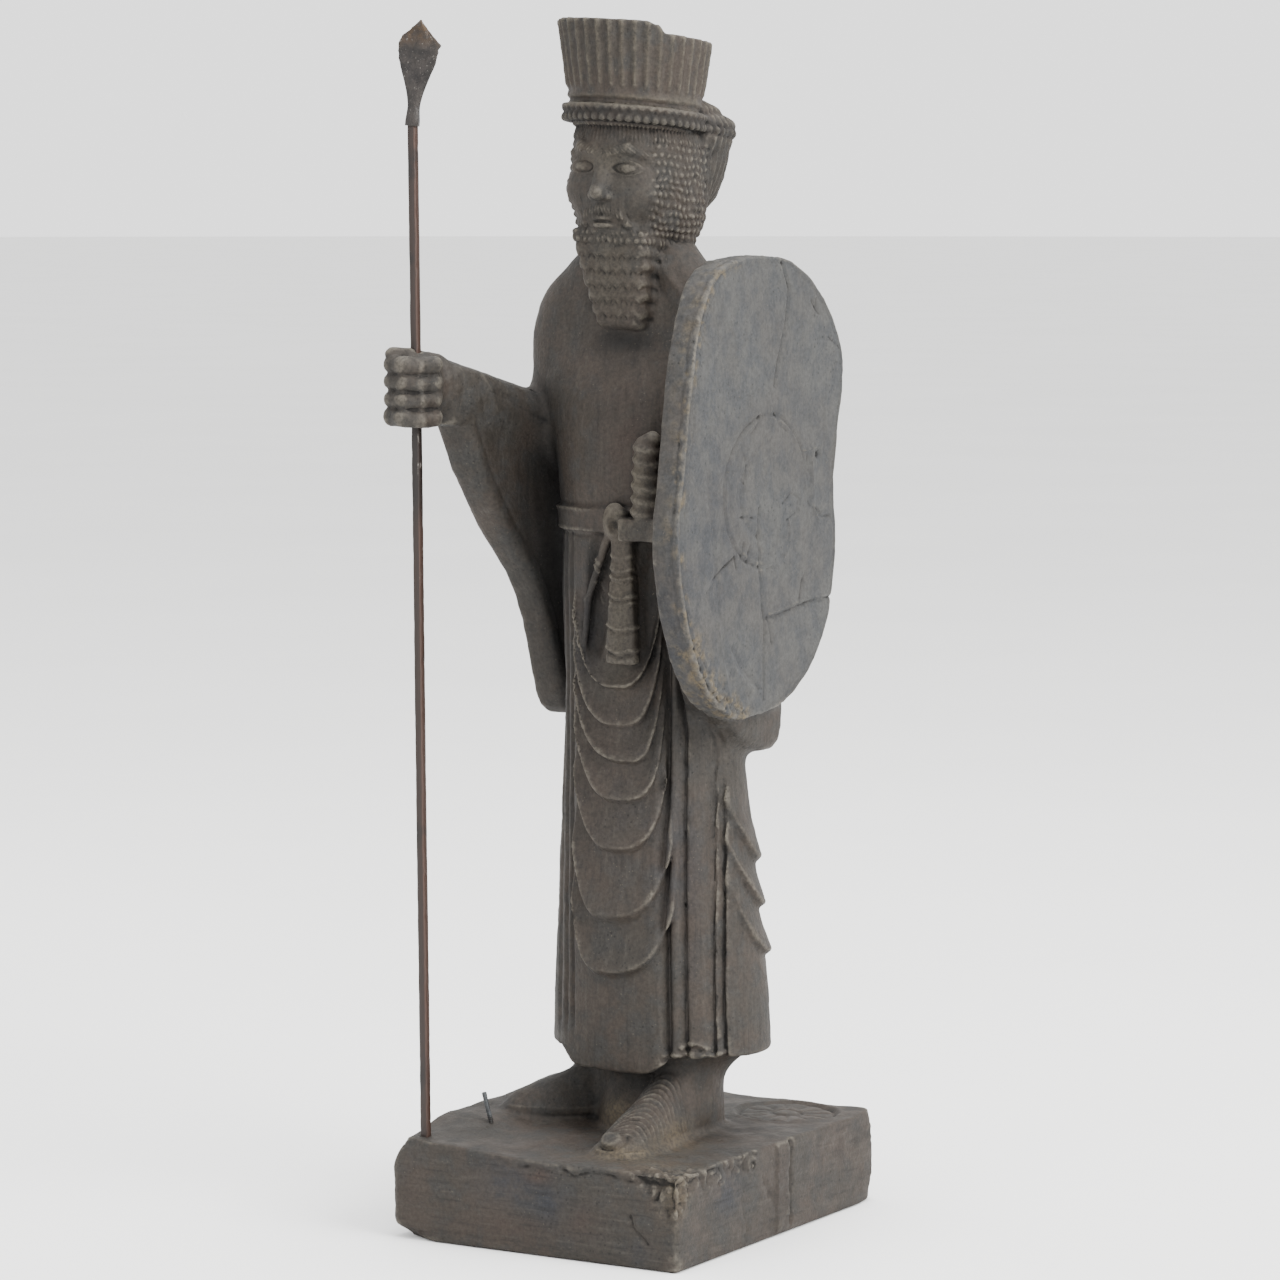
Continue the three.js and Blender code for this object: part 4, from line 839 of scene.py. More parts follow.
def settle(F):
    """fills ambiguous cube faces, so the surface stays a manifold"""
    for _ in range(16):
        S = F < 0
        n = 0
        for ax in range(3):
            o1, o2 = [a for a in range(3) if a != ax]

            def cut(A, i, j):
                s = [slice(None)] * 3
                s[o1] = slice(i, A.shape[o1] - 1 + i)
                s[o2] = slice(j, A.shape[o2] - 1 + j)
                return A[tuple(s)]

            a, b, c, d = cut(S, 0, 0), cut(S, 0, 1), cut(S, 1, 0), cut(S, 1, 1)
            bad = np.argwhere((a == d) & (b == c) & (a != b))
            for p in bad:
                q = []
                for i in (0, 1):
                    for j in (0, 1):
                        w = p.copy()
                        w[o1] += i
                        w[o2] += j
                        q.append(tuple(w))
                q = [w for w in q if F[w] >= 0]
                if len(q) == 2:
                    F[min(q, key=lambda w: F[w])] = -0.02
                    n += 1
        if not n:
            break
    return F


def drop_crumbs(ob):
    """removes closed crumbs that are not joined to the main surface"""
    bm = bmesh.new()
    bm.from_mesh(ob.data)
    bm.verts.ensure_lookup_table()
    part = [-1] * len(bm.verts)
    groups = []
    for v in bm.verts:
        if part[v.index] >= 0:
            continue
        part[v.index] = len(groups)
        group, stack = [v], [v]
        while stack:
            for e in stack.pop().link_edges:
                for o in e.verts:
                    if part[o.index] < 0:
                        part[o.index] = len(groups)
                        group.append(o)
                        stack.append(o)
        groups.append(group)
    main = max(groups, key=len)
    bmesh.ops.delete(bm, geom=[v for g in groups if g is not main for v in g], context="VERTS")
    bm.to_mesh(ob.data)
    bm.free()
    ob.data.update()


def cast_mesh():
    gx = axis_steps([(-77, -34, 0.8), (-34, 34, 0.6), (34, 72, 0.8)])
    gy = axis_steps([(-94, -46, 0.8), (-46, 44, 0.6), (44, 88, 0.8)])
    gz = axis_steps([(-2, 60, 0.8), (60, 372, 0.75), (372, 507, 0.5)])
    F = settle(sample(statue_field, gx, gy, gz))
    V, Q = nets(F, gx, gy, gz)
    N = vertex_normals(V, Q)
    d = in_threads(lambda A: relief(A[:, :3], A[:, 3:])[:, None], np.hstack([V, N]))[:, 0]
    V = V + N * d[:, None]
    V[:, 2] = np.maximum(V[:, 2], 0.0)
    return V, Q


def occlusion(P, N, steps=(1.2, 3.0, 7.0, 14.0)):
    """how deep a point sits among its surroundings, 0 open to 1 closed"""
    def f(A):
        p, n = A[:, :3], A[:, 3:]
        o = 0
        for s in steps:
            q = p + n * s
            o = o + np.clip((s - statue_field(q[:, 0], q[:, 1], q[:, 2])) / s, 0, 1.2) / len(steps)
        return o[:, None]
    return in_threads(f, np.hstack([P, N]))[:, 0]


def set_value(me, name, v):
    a = me.attributes.new(name, "FLOAT", "POINT")
    a.data.foreach_set("value", np.asarray(v, np.float32))


V, Q = cast_mesh()
statue = make_object("statue_cast", V, Q)
count = len(statue.data.polygons) * 2
limit = 196000
if count > limit:
    m = statue.modifiers.new("fewer", "DECIMATE")
    m.ratio = limit / count
    m.use_collapse_triangulate = True
    applied(statue)
drop_crumbs(statue)
me = statue.data
n = len(me.vertices)
P = np.empty(n * 3, np.float32)
me.vertices.foreach_get("co", P)
P = P.reshape(-1, 3).astype(float) * 1000
NV = np.empty(n * 3, np.float32)
me.vertices.foreach_get("normal", NV)
NV = NV.reshape(-1, 3).astype(float)
base_n = gradient(statue_field, P, 0.8)
base_n /= np.linalg.norm(base_n, axis=1)[:, None] + 1e-9
ao = occlusion(P, base_n)
rel = in_threads(lambda A: relief(A[:, :3], A[:, 3:])[:, None], np.hstack([P, base_n]))[:, 0]
x, y, z = P.T.astype(F32)
set_value(me, "deep", ao)
set_value(me, "relief", np.clip(rel * 0.5 + 0.5, 0, 1))
# how far each point stands out from its neighbours: ridges get a painted highlight, grooves painted shade
E = np.empty(len(me.edges) * 2, np.int32)
me.edges.foreach_get("vertices", E)
E = E.reshape(-1, 2)
deg = np.bincount(E.ravel(), minlength=n).astype(float)


def around(v):
    s = np.bincount(E[:, 0], v[E[:, 1]], n) + np.bincount(E[:, 1], v[E[:, 0]], n)
    return s / deg


size = around(np.zeros(n)) + (np.bincount(E[:, 0], np.linalg.norm(P[E[:, 0]] - P[E[:, 1]], axis=1), n)
                              + np.bincount(E[:, 1], np.linalg.norm(P[E[:, 0]] - P[E[:, 1]], axis=1), n)) / deg
lap = np.stack([around(P[:, a]) - P[:, a] for a in range(3)], -1)
out = -np.einsum("ij,ij->i", lap, NV) / size
for _ in range(2):
    out = 0.5 * out + 0.5 * around(out)
set_value(me, "ridge", np.clip(out * 2.2 + 0.5, 0, 1))
# bluish cold paint on the shield and in patches
shield_mask = smooth(48.5, 51, x) * smooth(214, 219, z) * smooth(412, 408, z)
set_value(me, "cold", shield_mask * (0.55 + 0.45 * smooth(0.2, 0.8, base_n[:, 0])))


def spot(cx, cy, cz, rx, ry, rz):
    return np.exp(-(((x - cx) / rx) ** 2 + ((y - cy) / ry) ** 2 + ((z - cz) / rz) ** 2))


blue = 0.9 * spot(-12, -86, 28, 14, 6, 9) + 0.8 * spot(10, -86, 22, 9, 6, 7) + 0.7 * spot(69, -44, 24, 6, 10, 8) + 0.6 * spot(52, -86, 6, 6, 6, 5) \
    + 0.6 * spot(-9, -29, 255, 5, 8, 22) + 0.5 * spot(36, -30, 160, 10, 12, 30) + 0.6 * spot(52, -60, 260, 12, 14, 26) + 0.4 * spot(62, -45, 300, 6, 18, 40)
set_value(me, "blue", np.clip(blue, 0, 1))
red = 0.9 * spot(2.8, -86, 33, 7, 5, 3.5) + 0.7 * spot(-9, -86, 11, 16, 5, 5) + 0.6 * spot(25, -86, 16, 10, 5, 8) + 0.5 * spot(-58, -86, 20, 6, 6, 14) \
    + 0.5 * spot(69, 0, 22, 5, 8, 16) + 0.5 * spot(69, 50, 30, 5, 16, 7) + 0.7 * spot(10, -28, 330, 12, 12, 22) + 0.6 * spot(-5, -30, 375, 26, 12, 18) \
    + 0.5 * spot(39, -30, 130, 3, 12, 50) + 0.35 * spot(0, -36, 200, 30, 14, 60)
set_value(me, "red", np.clip(red, 0, 1))
d_rim = outline(y, z, SHIELD)
gold = smooth(49, 60, x) * np.exp(-((d_rim + 2.2) / 2.4) ** 2) * smooth(-10, -45, y) * smooth(0.1, 0.5, noise(x, y, z, 2.2, 201) + 0.35 * noise(x, y, z, 6, 202))
gold = gold + 0.9 * smooth(48, 55, x) * np.exp(-(groove_dist(y, z, [(-58, 250), (-48, 235), (-36, 226), (-20, 220)]) / 6.5) ** 2) * smooth(-0.1, 0.4, noise(x, y, z, 2.6, 203))
gold = gold + 0.8 * spot(-2, -20, 48, 12, 9, 6) + 0.6 * spot(28, -62, 41, 18, 10, 3) + 0.7 * spot(40, -30, 44, 9, 16, 6) + 0.35 * spot(55, -70, 41, 18, 16, 3) + 0.5 * spot(69, -84, 32, 8, 8, 10)
set_value(me, "gold", np.clip(gold, 0, 1))
# dust on the hat's ridges, bands, brow and knot
dust = 0.5 * smooth(464, 470, z) * smooth(474, 471, z) * smooth(0.46, 0.62, rel * 0.5 + 0.5) + 0.45 * spot(-2, -28, 446, 16, 10, 6) + 0.45 * spot(0, -24, 398, 14, 10, 20) \
    + 0.55 * spot(10, -33, 262, 7, 6, 32) + 0.45 * spot(7, -36, 299, 8, 6, 8) + 0.8 * spot(20, -37, 314, 5, 6, 14)
hx, hy, hz = head_coords(x, y, z)
ridge = 1 - 1.35 * np.abs(np.sin(np.arctan2(hx, -hy) * 18)) ** 1.3
dust = np.maximum(dust, smooth(473, 475, hz) * smooth(0.35, 0.95, ridge) * 0.55 * (np.sqrt(hx * hx + hy * hy) > 24))
set_value(me, "dust", np.clip(dust, 0, 1))
# painted shade: near-black in the shadowed valleys between sleeve and torso, beside the sash, under the hem, beard and
# shield, and in the hat's bead row
painted_shade = 1.0 * spot(-33, -4, 285, 13, 30, 56) + 0.8 * spot(-4, -27, 264, 5, 6, 24) + 0.8 * spot(21.5, -27, 263, 5, 7, 25) + 0.9 * spot(-14, -22, 50, 11, 12, 9) \
    + 0.8 * spot(4, -22, 60, 11, 10, 6) + 0.9 * spot(4, -17, 371, 15, 9, 5) + 0.5 * ((z > 440) * smooth(458.6, 459.6, z + 0.047 * (x + 2.3) + 0.091 * (y - 0.6)) * smooth(465, 464, z + 0.047 * (x + 2.3) + 0.091 * (y - 0.6))) + 0.6 * spot(38, -28, 222, 12, 14, 16) + 0.5 * spot(-50, -14, 46, 9, 9, 5) + 0.7 * spot(40, -50, 300, 8, 22, 60)
set_value(me, "painted_shade", np.clip(painted_shade, 0, 1))

# ---------------------------------------------------------------- rod, blade, wire pin
AX = (SHAFT_TOP - SHAFT_FOOT) / np.linalg.norm(SHAFT_TOP - SHAFT_FOOT)
SHAFT_LEN = float(np.linalg.norm(SHAFT_TOP - SHAFT_FOOT))


def rod_mesh(side=3.4, bevel=0.35):
    h = side / 2
    ring = np.array([(h, -h + bevel), (h, h - bevel), (h - bevel, h), (-h + bevel, h), (-h, h - bevel), (-h, -h + bevel),
                     (-h + bevel, -h), (h - bevel, -h)])
    t = np.concatenate([[0.0, 0.25], np.linspace(0.6, SHAFT_LEN - 0.6, 420), [SHAFT_LEN - 0.25, SHAFT_LEN]])
    V = []
    for i, s in enumerate(t):
        k = 0.90 if i in (0, len(t) - 1) else 1.0
        w = 1 + 0.018 * float(noise(np.array([s]), np.array([0.0]), np.array([0.0]), 9, 301)[0])
        dx = 0.10 * float(noise(np.array([s]), np.array([3.0]), np.array([0.0]), 60, 302)[0])
        for j, (a, b) in enumerate(ring):
            nick = 0.10 * float(noise(np.array([s]), np.array([j * 5.0]), np.array([0.0]), 3.2, 303)[0])
            c = SHAFT_FOOT + AX * s
            V.append((c[0] + a * k * w - np.sign(a) * max(nick, 0) + dx, c[1] + b * k * w - np.sign(b) * max(nick, 0), c[2]))
    n = len(t)
    Q = [(i * 8 + j, i * 8 + (j + 1) % 8, (i + 1) * 8 + (j + 1) % 8, (i + 1) * 8 + j) for i in range(n - 1) for j in range(8)]
    e = (n - 1) * 8
    V += [tuple(SHAFT_FOOT), tuple(SHAFT_FOOT + AX * SHAFT_LEN)]
    T = [(len(V) - 2, (j + 1) % 8, j) for j in range(8)] + [(len(V) - 1, e + j, e + (j + 1) % 8) for j in range(8)]
    F = []
    for a, b, c, d in Q:
        F += [(a, b, c), (a, c, d)]
    return np.array(V), np.array(F + T)


BLADE_H, BLADE_W, BLADE_T, TURN, LEAN = 41.0, 18.4, 1.8, math.radians(20), math.radians(5.5)


def blade_half(t):
    neck = 2.35 / (BLADE_W / 2)
    a = (BLADE_W / 2) * (neck + (1 - neck) * smooth(0.05, 0.80, t) ** 1.15)
    b = (BLADE_W / 2) * (1 - (t - 0.76) / 0.245)
    return np.where(t < 0.76, a, b)


def blade_mesh():
    nu, nh = 30, 74
    t = np.linspace(0, 1, nh + 1)
    w = np.maximum(blade_half(t), 0.5)
    up = smooth(0.35, 0.8, t)
    left = w * (1 + up * (0.07 * noise(t * 40, t * 0, t * 0, 2.4, 311) + 0.05 * noise(t * 40, t * 0, t * 0, 0.9, 312)))
    right = w * (1 + up * (0.07 * noise(t * 40, t * 0 + 9, t * 0, 2.6, 313) + 0.05 * noise(t * 40, t * 0, t * 0 + 5, 1.1, 314)))
    s = np.linspace(-1, 1, nu + 1)
    U = np.where(s[None, :] < 0, s[None, :] * left[:, None], s[None, :] * right[:, None])
    H = np.repeat(t[:, None] * BLADE_H, nu + 1, 1)
    # crumpled: creases and dents, a dished middle and a folded edge
    c = 1.0 * np.abs(noise(U, H, U * 0, 7.5, 321)) + 0.8 * np.abs(noise(U + H * 0.3, H, U * 0, 4.2, 322)) + 0.35 * np.abs(noise(U, H, U * 0, 2.1, 323))
    mid = (c - 0.75) * up[:, None] * 1.15 + 0.5 * np.cos(s[None, :] * math.pi / 2) * (1 - up[:, None]) + 0.55 * np.sin(s[None, :] * 2.2) * up[:, None]
    th = (0.32 + (BLADE_T / 2 - 0.32) * (1 - np.abs(s[None, :]) ** 3)) * (0.75 + 0.25 * (1 - t[:, None]))
    # the foot of the blade is folded round the rod's end
    cup = smooth(0.16, 0.04, t)[:, None]
    th = th * (1 - cup) + 2.3 * cup
    U = U * (1 - cup) + 2.55 * s[None, :] * cup
    H = H - 2.2 * cup
    P = []
    for sign in (-1, 1):
        T = mid + sign * th
        x1, h1 = U * math.cos(LEAN) + H * math.sin(LEAN), -U * math.sin(LEAN) + H * math.cos(LEAN) + 0.25
        X, Y = x1 * math.cos(TURN) + T * math.sin(TURN), x1 * math.sin(TURN) - T * math.cos(TURN)
        base = SHAFT_FOOT + AX * (SHAFT_LEN + 0.3)
        P.append(np.stack([base[0] + X + h1 * AX[0], base[1] + Y, base[2] + h1 * AX[2]], -1).reshape(-1, 3))
    V = np.concatenate(P)
    m = nu + 1
    o = (nh + 1) * m
    F = []
    for i in range(nh):
        for j in range(nu):
            a, b, c2, d = i * m + j, i * m + j + 1, (i + 1) * m + j + 1, (i + 1) * m + j
            F += [(a, c2, b), (a, d, c2), (o + a, o + b, o + c2), (o + a, o + c2, o + d)]
    rim = [j for j in range(m)] + [i * m + nu for i in range(1, nh + 1)] + [nh * m + j for j in range(nu - 1, -1, -1)] + [i * m for i in range(nh - 1, 0, -1)]
    for a, b in zip(rim, rim[1:] + rim[:1]):
        F += [(a, b, o + b), (a, o + b, o + a)]
    return V, np.array(F)


def pin_mesh(r=1.05):
    C = np.array([[-43.8, -46.5, 40.9], [-44.4, -46.5, 45.0], [-46.0, -46.8, 51.0], [-47.4, -46.9, 56.5]])
    u = np.linspace(0, 3, 121)
    pts = []
    for q in u:
        i = min(int(q), 2)
        f = q - i
        p0, p1, p2, p3 = C[max(i - 1, 0)], C[i], C[i + 1], C[min(i + 2, 3)]
        pts.append(0.5 * (2 * p1 + (p2 - p0) * f + (2 * p0 - 5 * p1 + 4 * p2 - p3) * f * f + (3 * p1 - p0 - 3 * p2 + p3) * f ** 3))
    pts = np.array(pts)
    k = 20
    V = []
    for i, p in enumerate(pts):
        a, b = pts[max(i - 1, 0)], pts[min(i + 1, len(pts) - 1)]
        d = (b - a) / np.linalg.norm(b - a)
        s = np.cross(d, (0, 1, 0))
        s /= np.linalg.norm(s)
        q = np.cross(d, s)
        end = min(i, len(pts) - 1 - i)
        rr = r * math.sqrt(max(0.05, 1 - (1 - min(end / 5, 1)) ** 2)) * (0.93 + 0.07 * math.cos(i * 1.05) * (1 if i < 66 else 0.15))
        if i > 104:
            rr *= 1.05
        for j in range(k):
            h = 2 * math.pi * j / k
            V.append(p + (s * math.cos(h) + q * math.sin(h)) * rr)
    F = []
    n = len(pts)
    for i in range(n - 1):
        for j in range(k):
            a, b = i * k + j, i * k + (j + 1) % k
            F += [(a, b, b + k), (a, b + k, a + k)]
    V += [pts[0], pts[-1]]
    e = (n - 1) * k
    F += [(len(V) - 2, (j + 1) % k, j) for j in range(k)] + [(len(V) - 1, e + j, e + (j + 1) % k) for j in range(k)]
    return np.array(V), np.array(F)


def outward(V, F):
    a, b, c = V[F[:, 0]], V[F[:, 1]], V[F[:, 2]]
    return F if np.einsum("ij,ij->i", a, np.cross(b, c)).sum() > 0 else F[:, ::-1]


pieces = {"statue_cast": statue}
for name, maker in (("spear_rod", rod_mesh), ("spear_blade", blade_mesh), ("peg_wire", pin_mesh)):
    v, f = maker()
    pieces[name] = make_object(name, v, outward(v - v.mean(0), f))

# ---------------------------------------------------------------- materials
class Nodes:
    """short names for building a node material"""

    def __init__(self, name):
        self.mat = bpy.data.materials.new(name)
        self.mat.use_nodes = True
        self.t = self.mat.node_tree
        self.t.nodes.clear()
        self.out = self.t.nodes.new("ShaderNodeOutputMaterial")
        self.bsdf = self.t.nodes.new("ShaderNodeBsdfPrincipled")
        self.t.links.new(self.bsdf.outputs[0], self.out.inputs[0])
        self.obj = self.t.nodes.new("ShaderNodeTexCoord").outputs["Object"]

    def put(self, socket, v):
        if isinstance(v, bpy.types.NodeSocket):
            self.t.links.new(v, socket)
        elif isinstance(v, (tuple, list)) and len(v) == 3 and socket.type == "RGBA":
            socket.default_value = (*v, 1)
        else:
            socket.default_value = v

    def attr(self, name):
        n = self.t.nodes.new("ShaderNodeAttribute")
        n.attribute_name = name
        return n.outputs["Fac"]

    def stretch(self, sx, sy, sz):
        n = self.t.nodes.new("ShaderNodeMapping")
        n.inputs["Scale"].default_value = (sx, sy, sz)
        self.put(n.inputs["Vector"], self.obj)
        return n.outputs[0]

    def noise(self, scale, detail=4, rough=0.55, vec=None, distort=0.0):
        n = self.t.nodes.new("ShaderNodeTexNoise")
        self.put(n.inputs["Vector"], vec or self.obj)
        n.inputs["Scale"].default_value = scale
        n.inputs["Detail"].default_value = detail
        n.inputs["Roughness"].default_value = rough
        n.inputs["Distortion"].default_value = distort
        return n.outputs["Fac"]

    def cells(self, scale, feature="F1", vec=None):
        n = self.t.nodes.new("ShaderNodeTexVoronoi")
        n.feature = feature
        self.put(n.inputs["Vector"], vec or self.obj)
        n.inputs["Scale"].default_value = scale
        return n.outputs["Distance"]

    def ramp(self, v, a, b, lo=0.0, hi=1.0):
        n = self.t.nodes.new("ShaderNodeMapRange")
        n.interpolation_type = "SMOOTHSTEP"
        self.put(n.inputs["Value"], v)
        for k, q in (("From Min", a), ("From Max", b), ("To Min", lo), ("To Max", hi)):
            n.inputs[k].default_value = q
        return n.outputs[0]

    def math(self, op, a, b=0.0, clamp=False):
        n = self.t.nodes.new("ShaderNodeMath")
        n.operation = op
        n.use_clamp = clamp
        self.put(n.inputs[0], a)
        self.put(n.inputs[1], b)
        return n.outputs[0]

    def mul(self, a, b):
        return self.math("MULTIPLY", a, b)

    def add(self, a, b):
        return self.math("ADD", a, b, True)

    def mix(self, f, a, b):
        n = self.t.nodes.new("ShaderNodeMix")
        n.data_type = "RGBA"
        self.put(n.inputs[0], f)
        self.put(n.inputs[6], a)
        self.put(n.inputs[7], b)
        return n.outputs[2]

    def scale_color(self, c, f):
        n = self.t.nodes.new("ShaderNodeMix")
        n.data_type = "RGBA"
        n.blend_type = "MULTIPLY"
        n.inputs[0].default_value = 1.0
        self.put(n.inputs[6], c)
        m = self.t.nodes.new("ShaderNodeCombineColor")
        for k in range(3):
            self.put(m.inputs[k], f)
        self.put(n.inputs[7], m.outputs[0])
        return n.outputs[2]

    def bump(self, height, strength, distance, normal=None):
        n = self.t.nodes.new("ShaderNodeBump")
        n.inputs["Strength"].default_value = strength
        n.inputs["Distance"].default_value = distance
        self.put(n.inputs["Height"], height)
        if normal is not None:
            self.put(n.inputs["Normal"], normal)
        return n.outputs[0]

    def sep(self):
        n = self.t.nodes.new("ShaderNodeSeparateXYZ")
        self.put(n.inputs[0], self.obj)
        return n.outputs


TONE = 0.235          # the studio light is strong, so that the ground comes out pale


def hexc(r, g, b, k=TONE):
    """a colour given as it looks, 0 to 255, as a linear value under that light"""
    def f(c):
        c = c / 255
        return (c / 12.92 if c <= 0.04045 else ((c + 0.055) / 1.055) ** 2.4) * k
    return (f(r), f(g), f(b))


def cast_material():
    m = Nodes("patina_cast")
    z = m.sep()[2]
    deep, rel, cold, blue, red = (m.attr(a) for a in ("deep", "relief", "cold", "blue", "red"))
    ridge = m.attr("ridge")
    gold, dust, painted_shade = (m.attr(a) for a in ("gold", "dust", "painted_shade"))
    base = m.ramp(z, 0.040, 0.044)                       # 0 on the plinth's sides, 1 above
    big = m.noise(28, 5, 0.6)
    mid = m.noise(110, 5, 0.6)
    fine = m.noise(620, 4, 0.65)
    v_streak = m.noise(1, 5, 0.6, m.stretch(420, 420, 46))
    h_streak = m.noise(1, 5, 0.6, m.stretch(50, 50, 620))
    streak_n = m.t.nodes.new("ShaderNodeMix")
    m.put(streak_n.inputs[0], base)
    m.put(streak_n.inputs[2], h_streak)
    m.put(streak_n.inputs[3], v_streak)
    streak = streak_n.outputs[0]
    brown, brown2, grey = hexc(99, 88, 79), hexc(88, 82, 75), hexc(95, 94, 92)
    c = m.mix(m.ramp(big, 0.38, 0.62), brown, brown2)
    c = m.mix(m.ramp(mid, 0.42, 0.68, 0, 0.75), c, grey)
    c = m.mix(m.mul(cold, m.ramp(big, 0.3, 0.7, 0.72, 1.0)), c, m.mix(m.ramp(mid, 0.4, 0.62), hexc(116, 116, 114), hexc(106, 108, 110)))
    c = m.mix(m.mul(blue, m.ramp(mid, 0.34, 0.6, 0.35, 0.95)), c, hexc(78, 81, 89))
    c = m.mix(m.mul(red, m.ramp(mid, 0.36, 0.62, 0.15, 0.85)), c, hexc(106, 86, 76))
    calm = m.math("SUBTRACT", 1.0, m.mul(cold, 0.72))     # the shield is brushed smoother
    c = m.mix(m.mul(m.ramp(streak, 0.52, 0.74, 0, 0.36), calm), c, hexc(124, 117, 108))
    c = m.mix(m.mul(m.ramp(streak, 0.48, 0.28, 0, 0.45), calm), c, hexc(58, 55, 53))
    # painted highlight on raised lines, dust and gold flecks, painted shade in the grooves and hollows
    # painted highlight: ridges made paler
    hi = m.mul(m.ramp(ridge, 0.58, 0.92), m.ramp(fine, 0.3, 0.6, 0.45, 1.0))
    c = m.mix(m.mul(hi, 0.8), c, hexc(158, 150, 136))
    c = m.mix(m.mul(dust, m.ramp(fine, 0.3, 0.62, 0.45, 0.95)), c, hexc(134, 125, 108))
    c = m.mix(m.mul(gold, m.ramp(fine, 0.35, 0.6, 0.4, 1.0)), c, hexc(150, 134, 106))
    # painted shade: darker in grooves and where the casting closes round a point
    lo = m.add(m.ramp(ridge, 0.42, 0.12, 0, 0.9), m.mul(m.ramp(deep, 0.34, 0.80), 0.8))
    c = m.mix(m.mul(lo, m.ramp(fine, 0.2, 0.6, 1.0, 0.75)), c, hexc(36, 34, 33))
    # painted shade: near-black in the valleys marked above
    c = m.mix(m.mul(painted_shade, 0.92), c, hexc(24, 24, 25))
    # speckle: pale grains and black pits
    c = m.mix(m.mul(m.ramp(m.cells(520), 0.20, 0.05), m.ramp(mid, 0.5, 0.62, 0, 0.5)), c, hexc(160, 148, 128))
    c = m.mix(m.mul(m.ramp(m.cells(360), 0.24, 0.08), m.ramp(big, 0.45, 0.6, 0, 0.55)), c, hexc(34, 31, 30))
    c = m.scale_color(c, m.ramp(fine, 0.25, 0.75, 0.78, 1.22))
    m.put(m.bsdf.inputs["Base Color"], c)
    m.put(m.bsdf.inputs["Roughness"], m.add(m.ramp(mid, 0.3, 0.7, 0.60, 0.82), m.mul(lo, 0.1)))
    m.bsdf.inputs["Specular IOR Level"].default_value = 0.2
    b1 = m.bump(streak, 0.35, 0.0006)
    b2 = m.bump(fine, 0.45, 0.00045, b1)
    b3 = m.bump(m.cells(700), 0.22, 0.00035, b2)
    m.put(m.bsdf.inputs["Normal"], b3)
    return m.mat


def rod_material():
    m = Nodes("copper_rod")
    x, y, z = m.sep()
    streak = m.noise(1, 5, 0.6, m.stretch(900, 900, 26))
    patch = m.noise(1, 4, 0.6, m.stretch(60, 60, 34))
    glint_noise = m.noise(1, 4, 0.7, m.stretch(300, 300, 120))
    nrm = m.t.nodes.new("ShaderNodeNewGeometry")
    sepn = m.t.nodes.new("ShaderNodeSeparateXYZ")
    m.put(sepn.inputs[0], nrm.outputs["True Normal"])
    # painted light and shade: the rod's face turned to +X is lighter, its other faces darker
    side = m.ramp(sepn.outputs[0], 0.35, 0.75)
    c = m.mix(side, hexc(74, 56, 48), hexc(116, 84, 70))
    c = m.mix(m.ramp(streak, 0.45, 0.7, 0, 0.6), c, hexc(100, 76, 64))
    c = m.mix(m.ramp(patch, 0.56, 0.68, 0, 0.85), c, hexc(46, 38, 35))
    # below the hand the coating is dark, with painted glints: white streaks of painted highlight on the +X face
    below = m.mul(m.ramp(z, 0.352, 0.346), m.ramp(z, 0.290, 0.310))
    c = m.mix(m.mul(below, 0.8), c, hexc(44, 38, 36))
    # painted highlight: white glints on the rod below the hand
    painted_glint = m.mul(m.mul(m.ramp(z, 0.335, 0.331), m.ramp(z, 0.300, 0.306)), m.ramp(glint_noise, 0.52, 0.62))
    painted_glint2 = m.mul(m.mul(m.ramp(z, 0.297, 0.293), m.ramp(z, 0.272, 0.276)), m.ramp(glint_noise, 0.58, 0.68, 0, 0.6))
    painted_glint = m.mul(m.add(painted_glint, painted_glint2), side)
    c = m.mix(painted_glint, c, hexc(214, 206, 196))
    m.put(m.bsdf.inputs["Base Color"], c)
    m.bsdf.inputs["Metallic"].default_value = 0.35
    m.put(m.bsdf.inputs["Roughness"], m.ramp(streak, 0.3, 0.7, 0.42, 0.62))
    m.put(m.bsdf.inputs["Normal"], m.bump(m.noise(1, 4, 0.6, m.stretch(700, 700, 160)), 0.3, 0.0003))
    return m.mat


def blade_material():
    m = Nodes("dark_blade")
    z = m.sep()[2]
    a, b = m.noise(260, 6, 0.65), m.noise(900, 4, 0.6)
    c = m.mix(m.ramp(a, 0.4, 0.6), hexc(62, 56, 53), hexc(92, 84, 79))
    c = m.mix(m.ramp(m.noise(150, 5, 0.6, None, 0.4), 0.52, 0.64, 0, 0.85), c, hexc(44, 38, 36))
    tip = m.ramp(z, 0.489, 0.499)
    c = m.mix(m.mul(tip, m.ramp(a, 0.4, 0.6, 0.3, 0.95)), c, hexc(112, 84, 50))
    c = m.mix(m.mul(m.ramp(b, 0.62, 0.72), 0.8), c, hexc(186, 180, 172))
    c = m.mix(m.mul(m.ramp(m.cells(420), 0.16, 0.05), m.ramp(a, 0.45, 0.6)), c, hexc(206, 200, 190))
    m.put(m.bsdf.inputs["Base Color"], c)
    m.bsdf.inputs["Metallic"].default_value = 0.45
    m.put(m.bsdf.inputs["Roughness"], m.ramp(a, 0.3, 0.7, 0.38, 0.62))
    m.put(m.bsdf.inputs["Normal"], m.bump(a, 0.7, 0.0008, m.bump(b, 0.4, 0.0004)))
    return m.mat


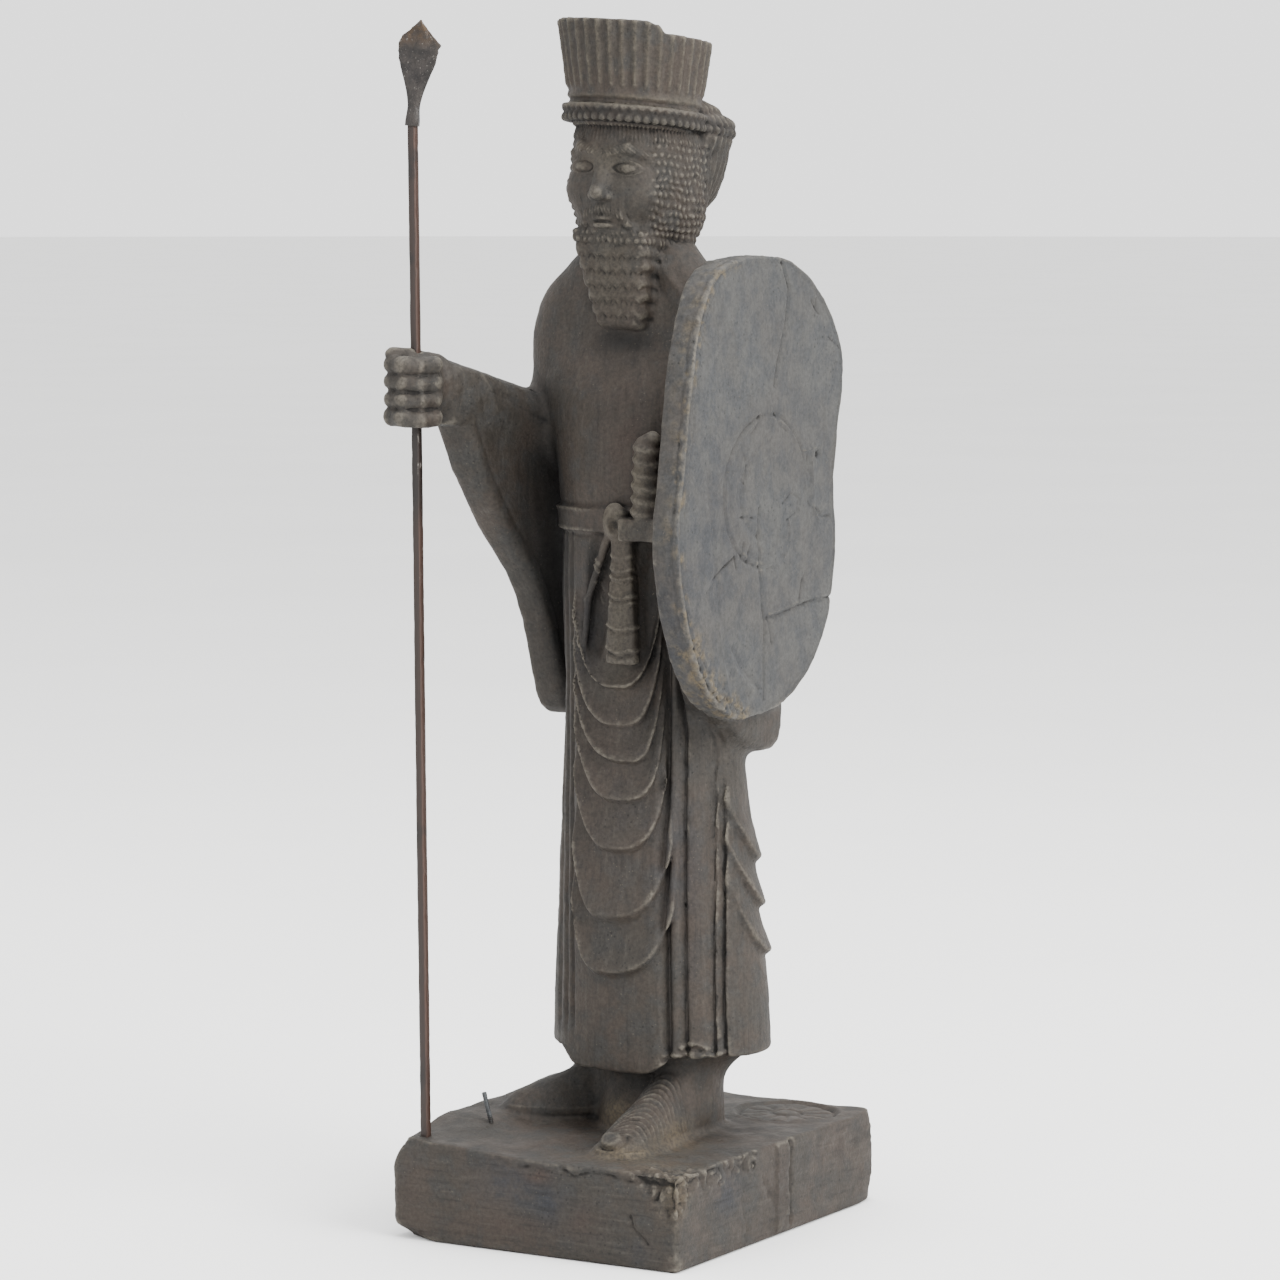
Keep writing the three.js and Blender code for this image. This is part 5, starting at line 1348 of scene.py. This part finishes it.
def wire_material():
    m = Nodes("grey_wire")
    z = m.sep()[2]
    a = m.noise(700, 4, 0.6)
    c = m.mix(m.ramp(a, 0.4, 0.65), hexc(96, 100, 103), hexc(138, 142, 145))
    c = m.mix(m.mul(m.ramp(z, 0.0475, 0.0455), m.ramp(a, 0.3, 0.55, 0.5, 0.95)), c, hexc(58, 52, 48))
    m.put(m.bsdf.inputs["Base Color"], c)
    m.bsdf.inputs["Metallic"].default_value = 0.5
    m.put(m.bsdf.inputs["Roughness"], m.ramp(a, 0.3, 0.7, 0.38, 0.58))
    m.put(m.bsdf.inputs["Normal"], m.bump(a, 0.4, 0.0003))
    return m.mat


def floor_material():
    m = Nodes("pale_floor")
    n = m.noise(3, 3, 0.5)
    m.put(m.bsdf.inputs["Base Color"], m.mix(m.ramp(n, 0.3, 0.7, 0, 1), (0.80, 0.80, 0.795), (0.82, 0.82, 0.815)))
    m.bsdf.inputs["Roughness"].default_value = 0.9
    m.bsdf.inputs["Specular IOR Level"].default_value = 0.1
    return m.mat


ROLE = {"statue_cast": ("statue", "patina_cast", cast_material), "spear_rod": ("spear_shaft", "copper_rod", rod_material),
        "spear_blade": ("spear_head", "dark_blade", blade_material), "peg_wire": ("plinth_pin", "grey_wire", wire_material)}
for name, (node, slot, make) in ROLE.items():
    ob = pieces[name]
    ob.data.materials.clear()
    ob.data.materials.append(make())
    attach(ob, "root")
    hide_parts(node)

# ---------------------------------------------------------------- floor, light, camera
R_FLOOR = 30.0
ring = [(R_FLOOR * math.cos(a), R_FLOOR * math.sin(a), 0.0) for a in np.linspace(0, 2 * math.pi, 96, endpoint=False)]
me = bpy.data.meshes.new("floor")
me.from_pydata(ring, [], [list(range(96))])
floor = bpy.data.objects.new("floor", me)
floor.location.z = -0.0004
bpy.context.scene.collection.objects.link(floor)
me.materials.append(floor_material())

world = bpy.data.worlds.new("studio")
bpy.context.scene.world = world
world.use_nodes = True
world.node_tree.nodes["Background"].inputs[0].default_value = (1.0, 1.0, 1.0, 1)
world.node_tree.nodes["Background"].inputs[1].default_value = 2.0


def lamp(name, at, aim, size, watts, color=(1, 1, 1)):
    d = bpy.data.lights.new(name, "AREA")
    d.shape = "DISK"
    d.size = size
    d.energy = watts
    d.color = color
    o = bpy.data.objects.new(name, d)
    bpy.context.scene.collection.objects.link(o)
    v = np.array(aim, float) - np.array(at, float)
    o.location = at
    o.rotation_euler = (math.atan2(math.hypot(v[0], v[1]), -v[2]), 0, math.atan2(v[1], v[0]) - math.pi / 2)
    return o


lamp("key", (2.3, -0.3, 1.6), (0, 0, 0.25), 1.8, 130, (1.0, 0.99, 0.975))
lamp("fill", (-0.6, -2.4, 1.2), (0, 0, 0.25), 0.9, 16, (0.97, 0.985, 1.0))
lamp("top", (0.1, 0.1, 2.4), (0, 0, 0.3), 1.0, 70, (1.0, 1.0, 1.0))

cam = bpy.data.cameras.new("photo_view")
cam.sensor_fit = "HORIZONTAL"
cam.sensor_width = 36.0
cam.lens = 4926.2 / 1280 * 36.0
cam.shift_x = 1.83 / 1280
cam.clip_start, cam.clip_end = 0.05, 60
eye = bpy.data.objects.new("photo_view", cam)
bpy.context.scene.collection.objects.link(eye)
AZ = math.radians(30.695)
eye.location = (math.sin(AZ) * 2.05505, -math.cos(AZ) * 2.05505, 0.44242)
eye.rotation_euler = (math.radians(90 - 5.477), 0, AZ)
bpy.context.scene.camera = eye

bpy.context.view_layer.update()
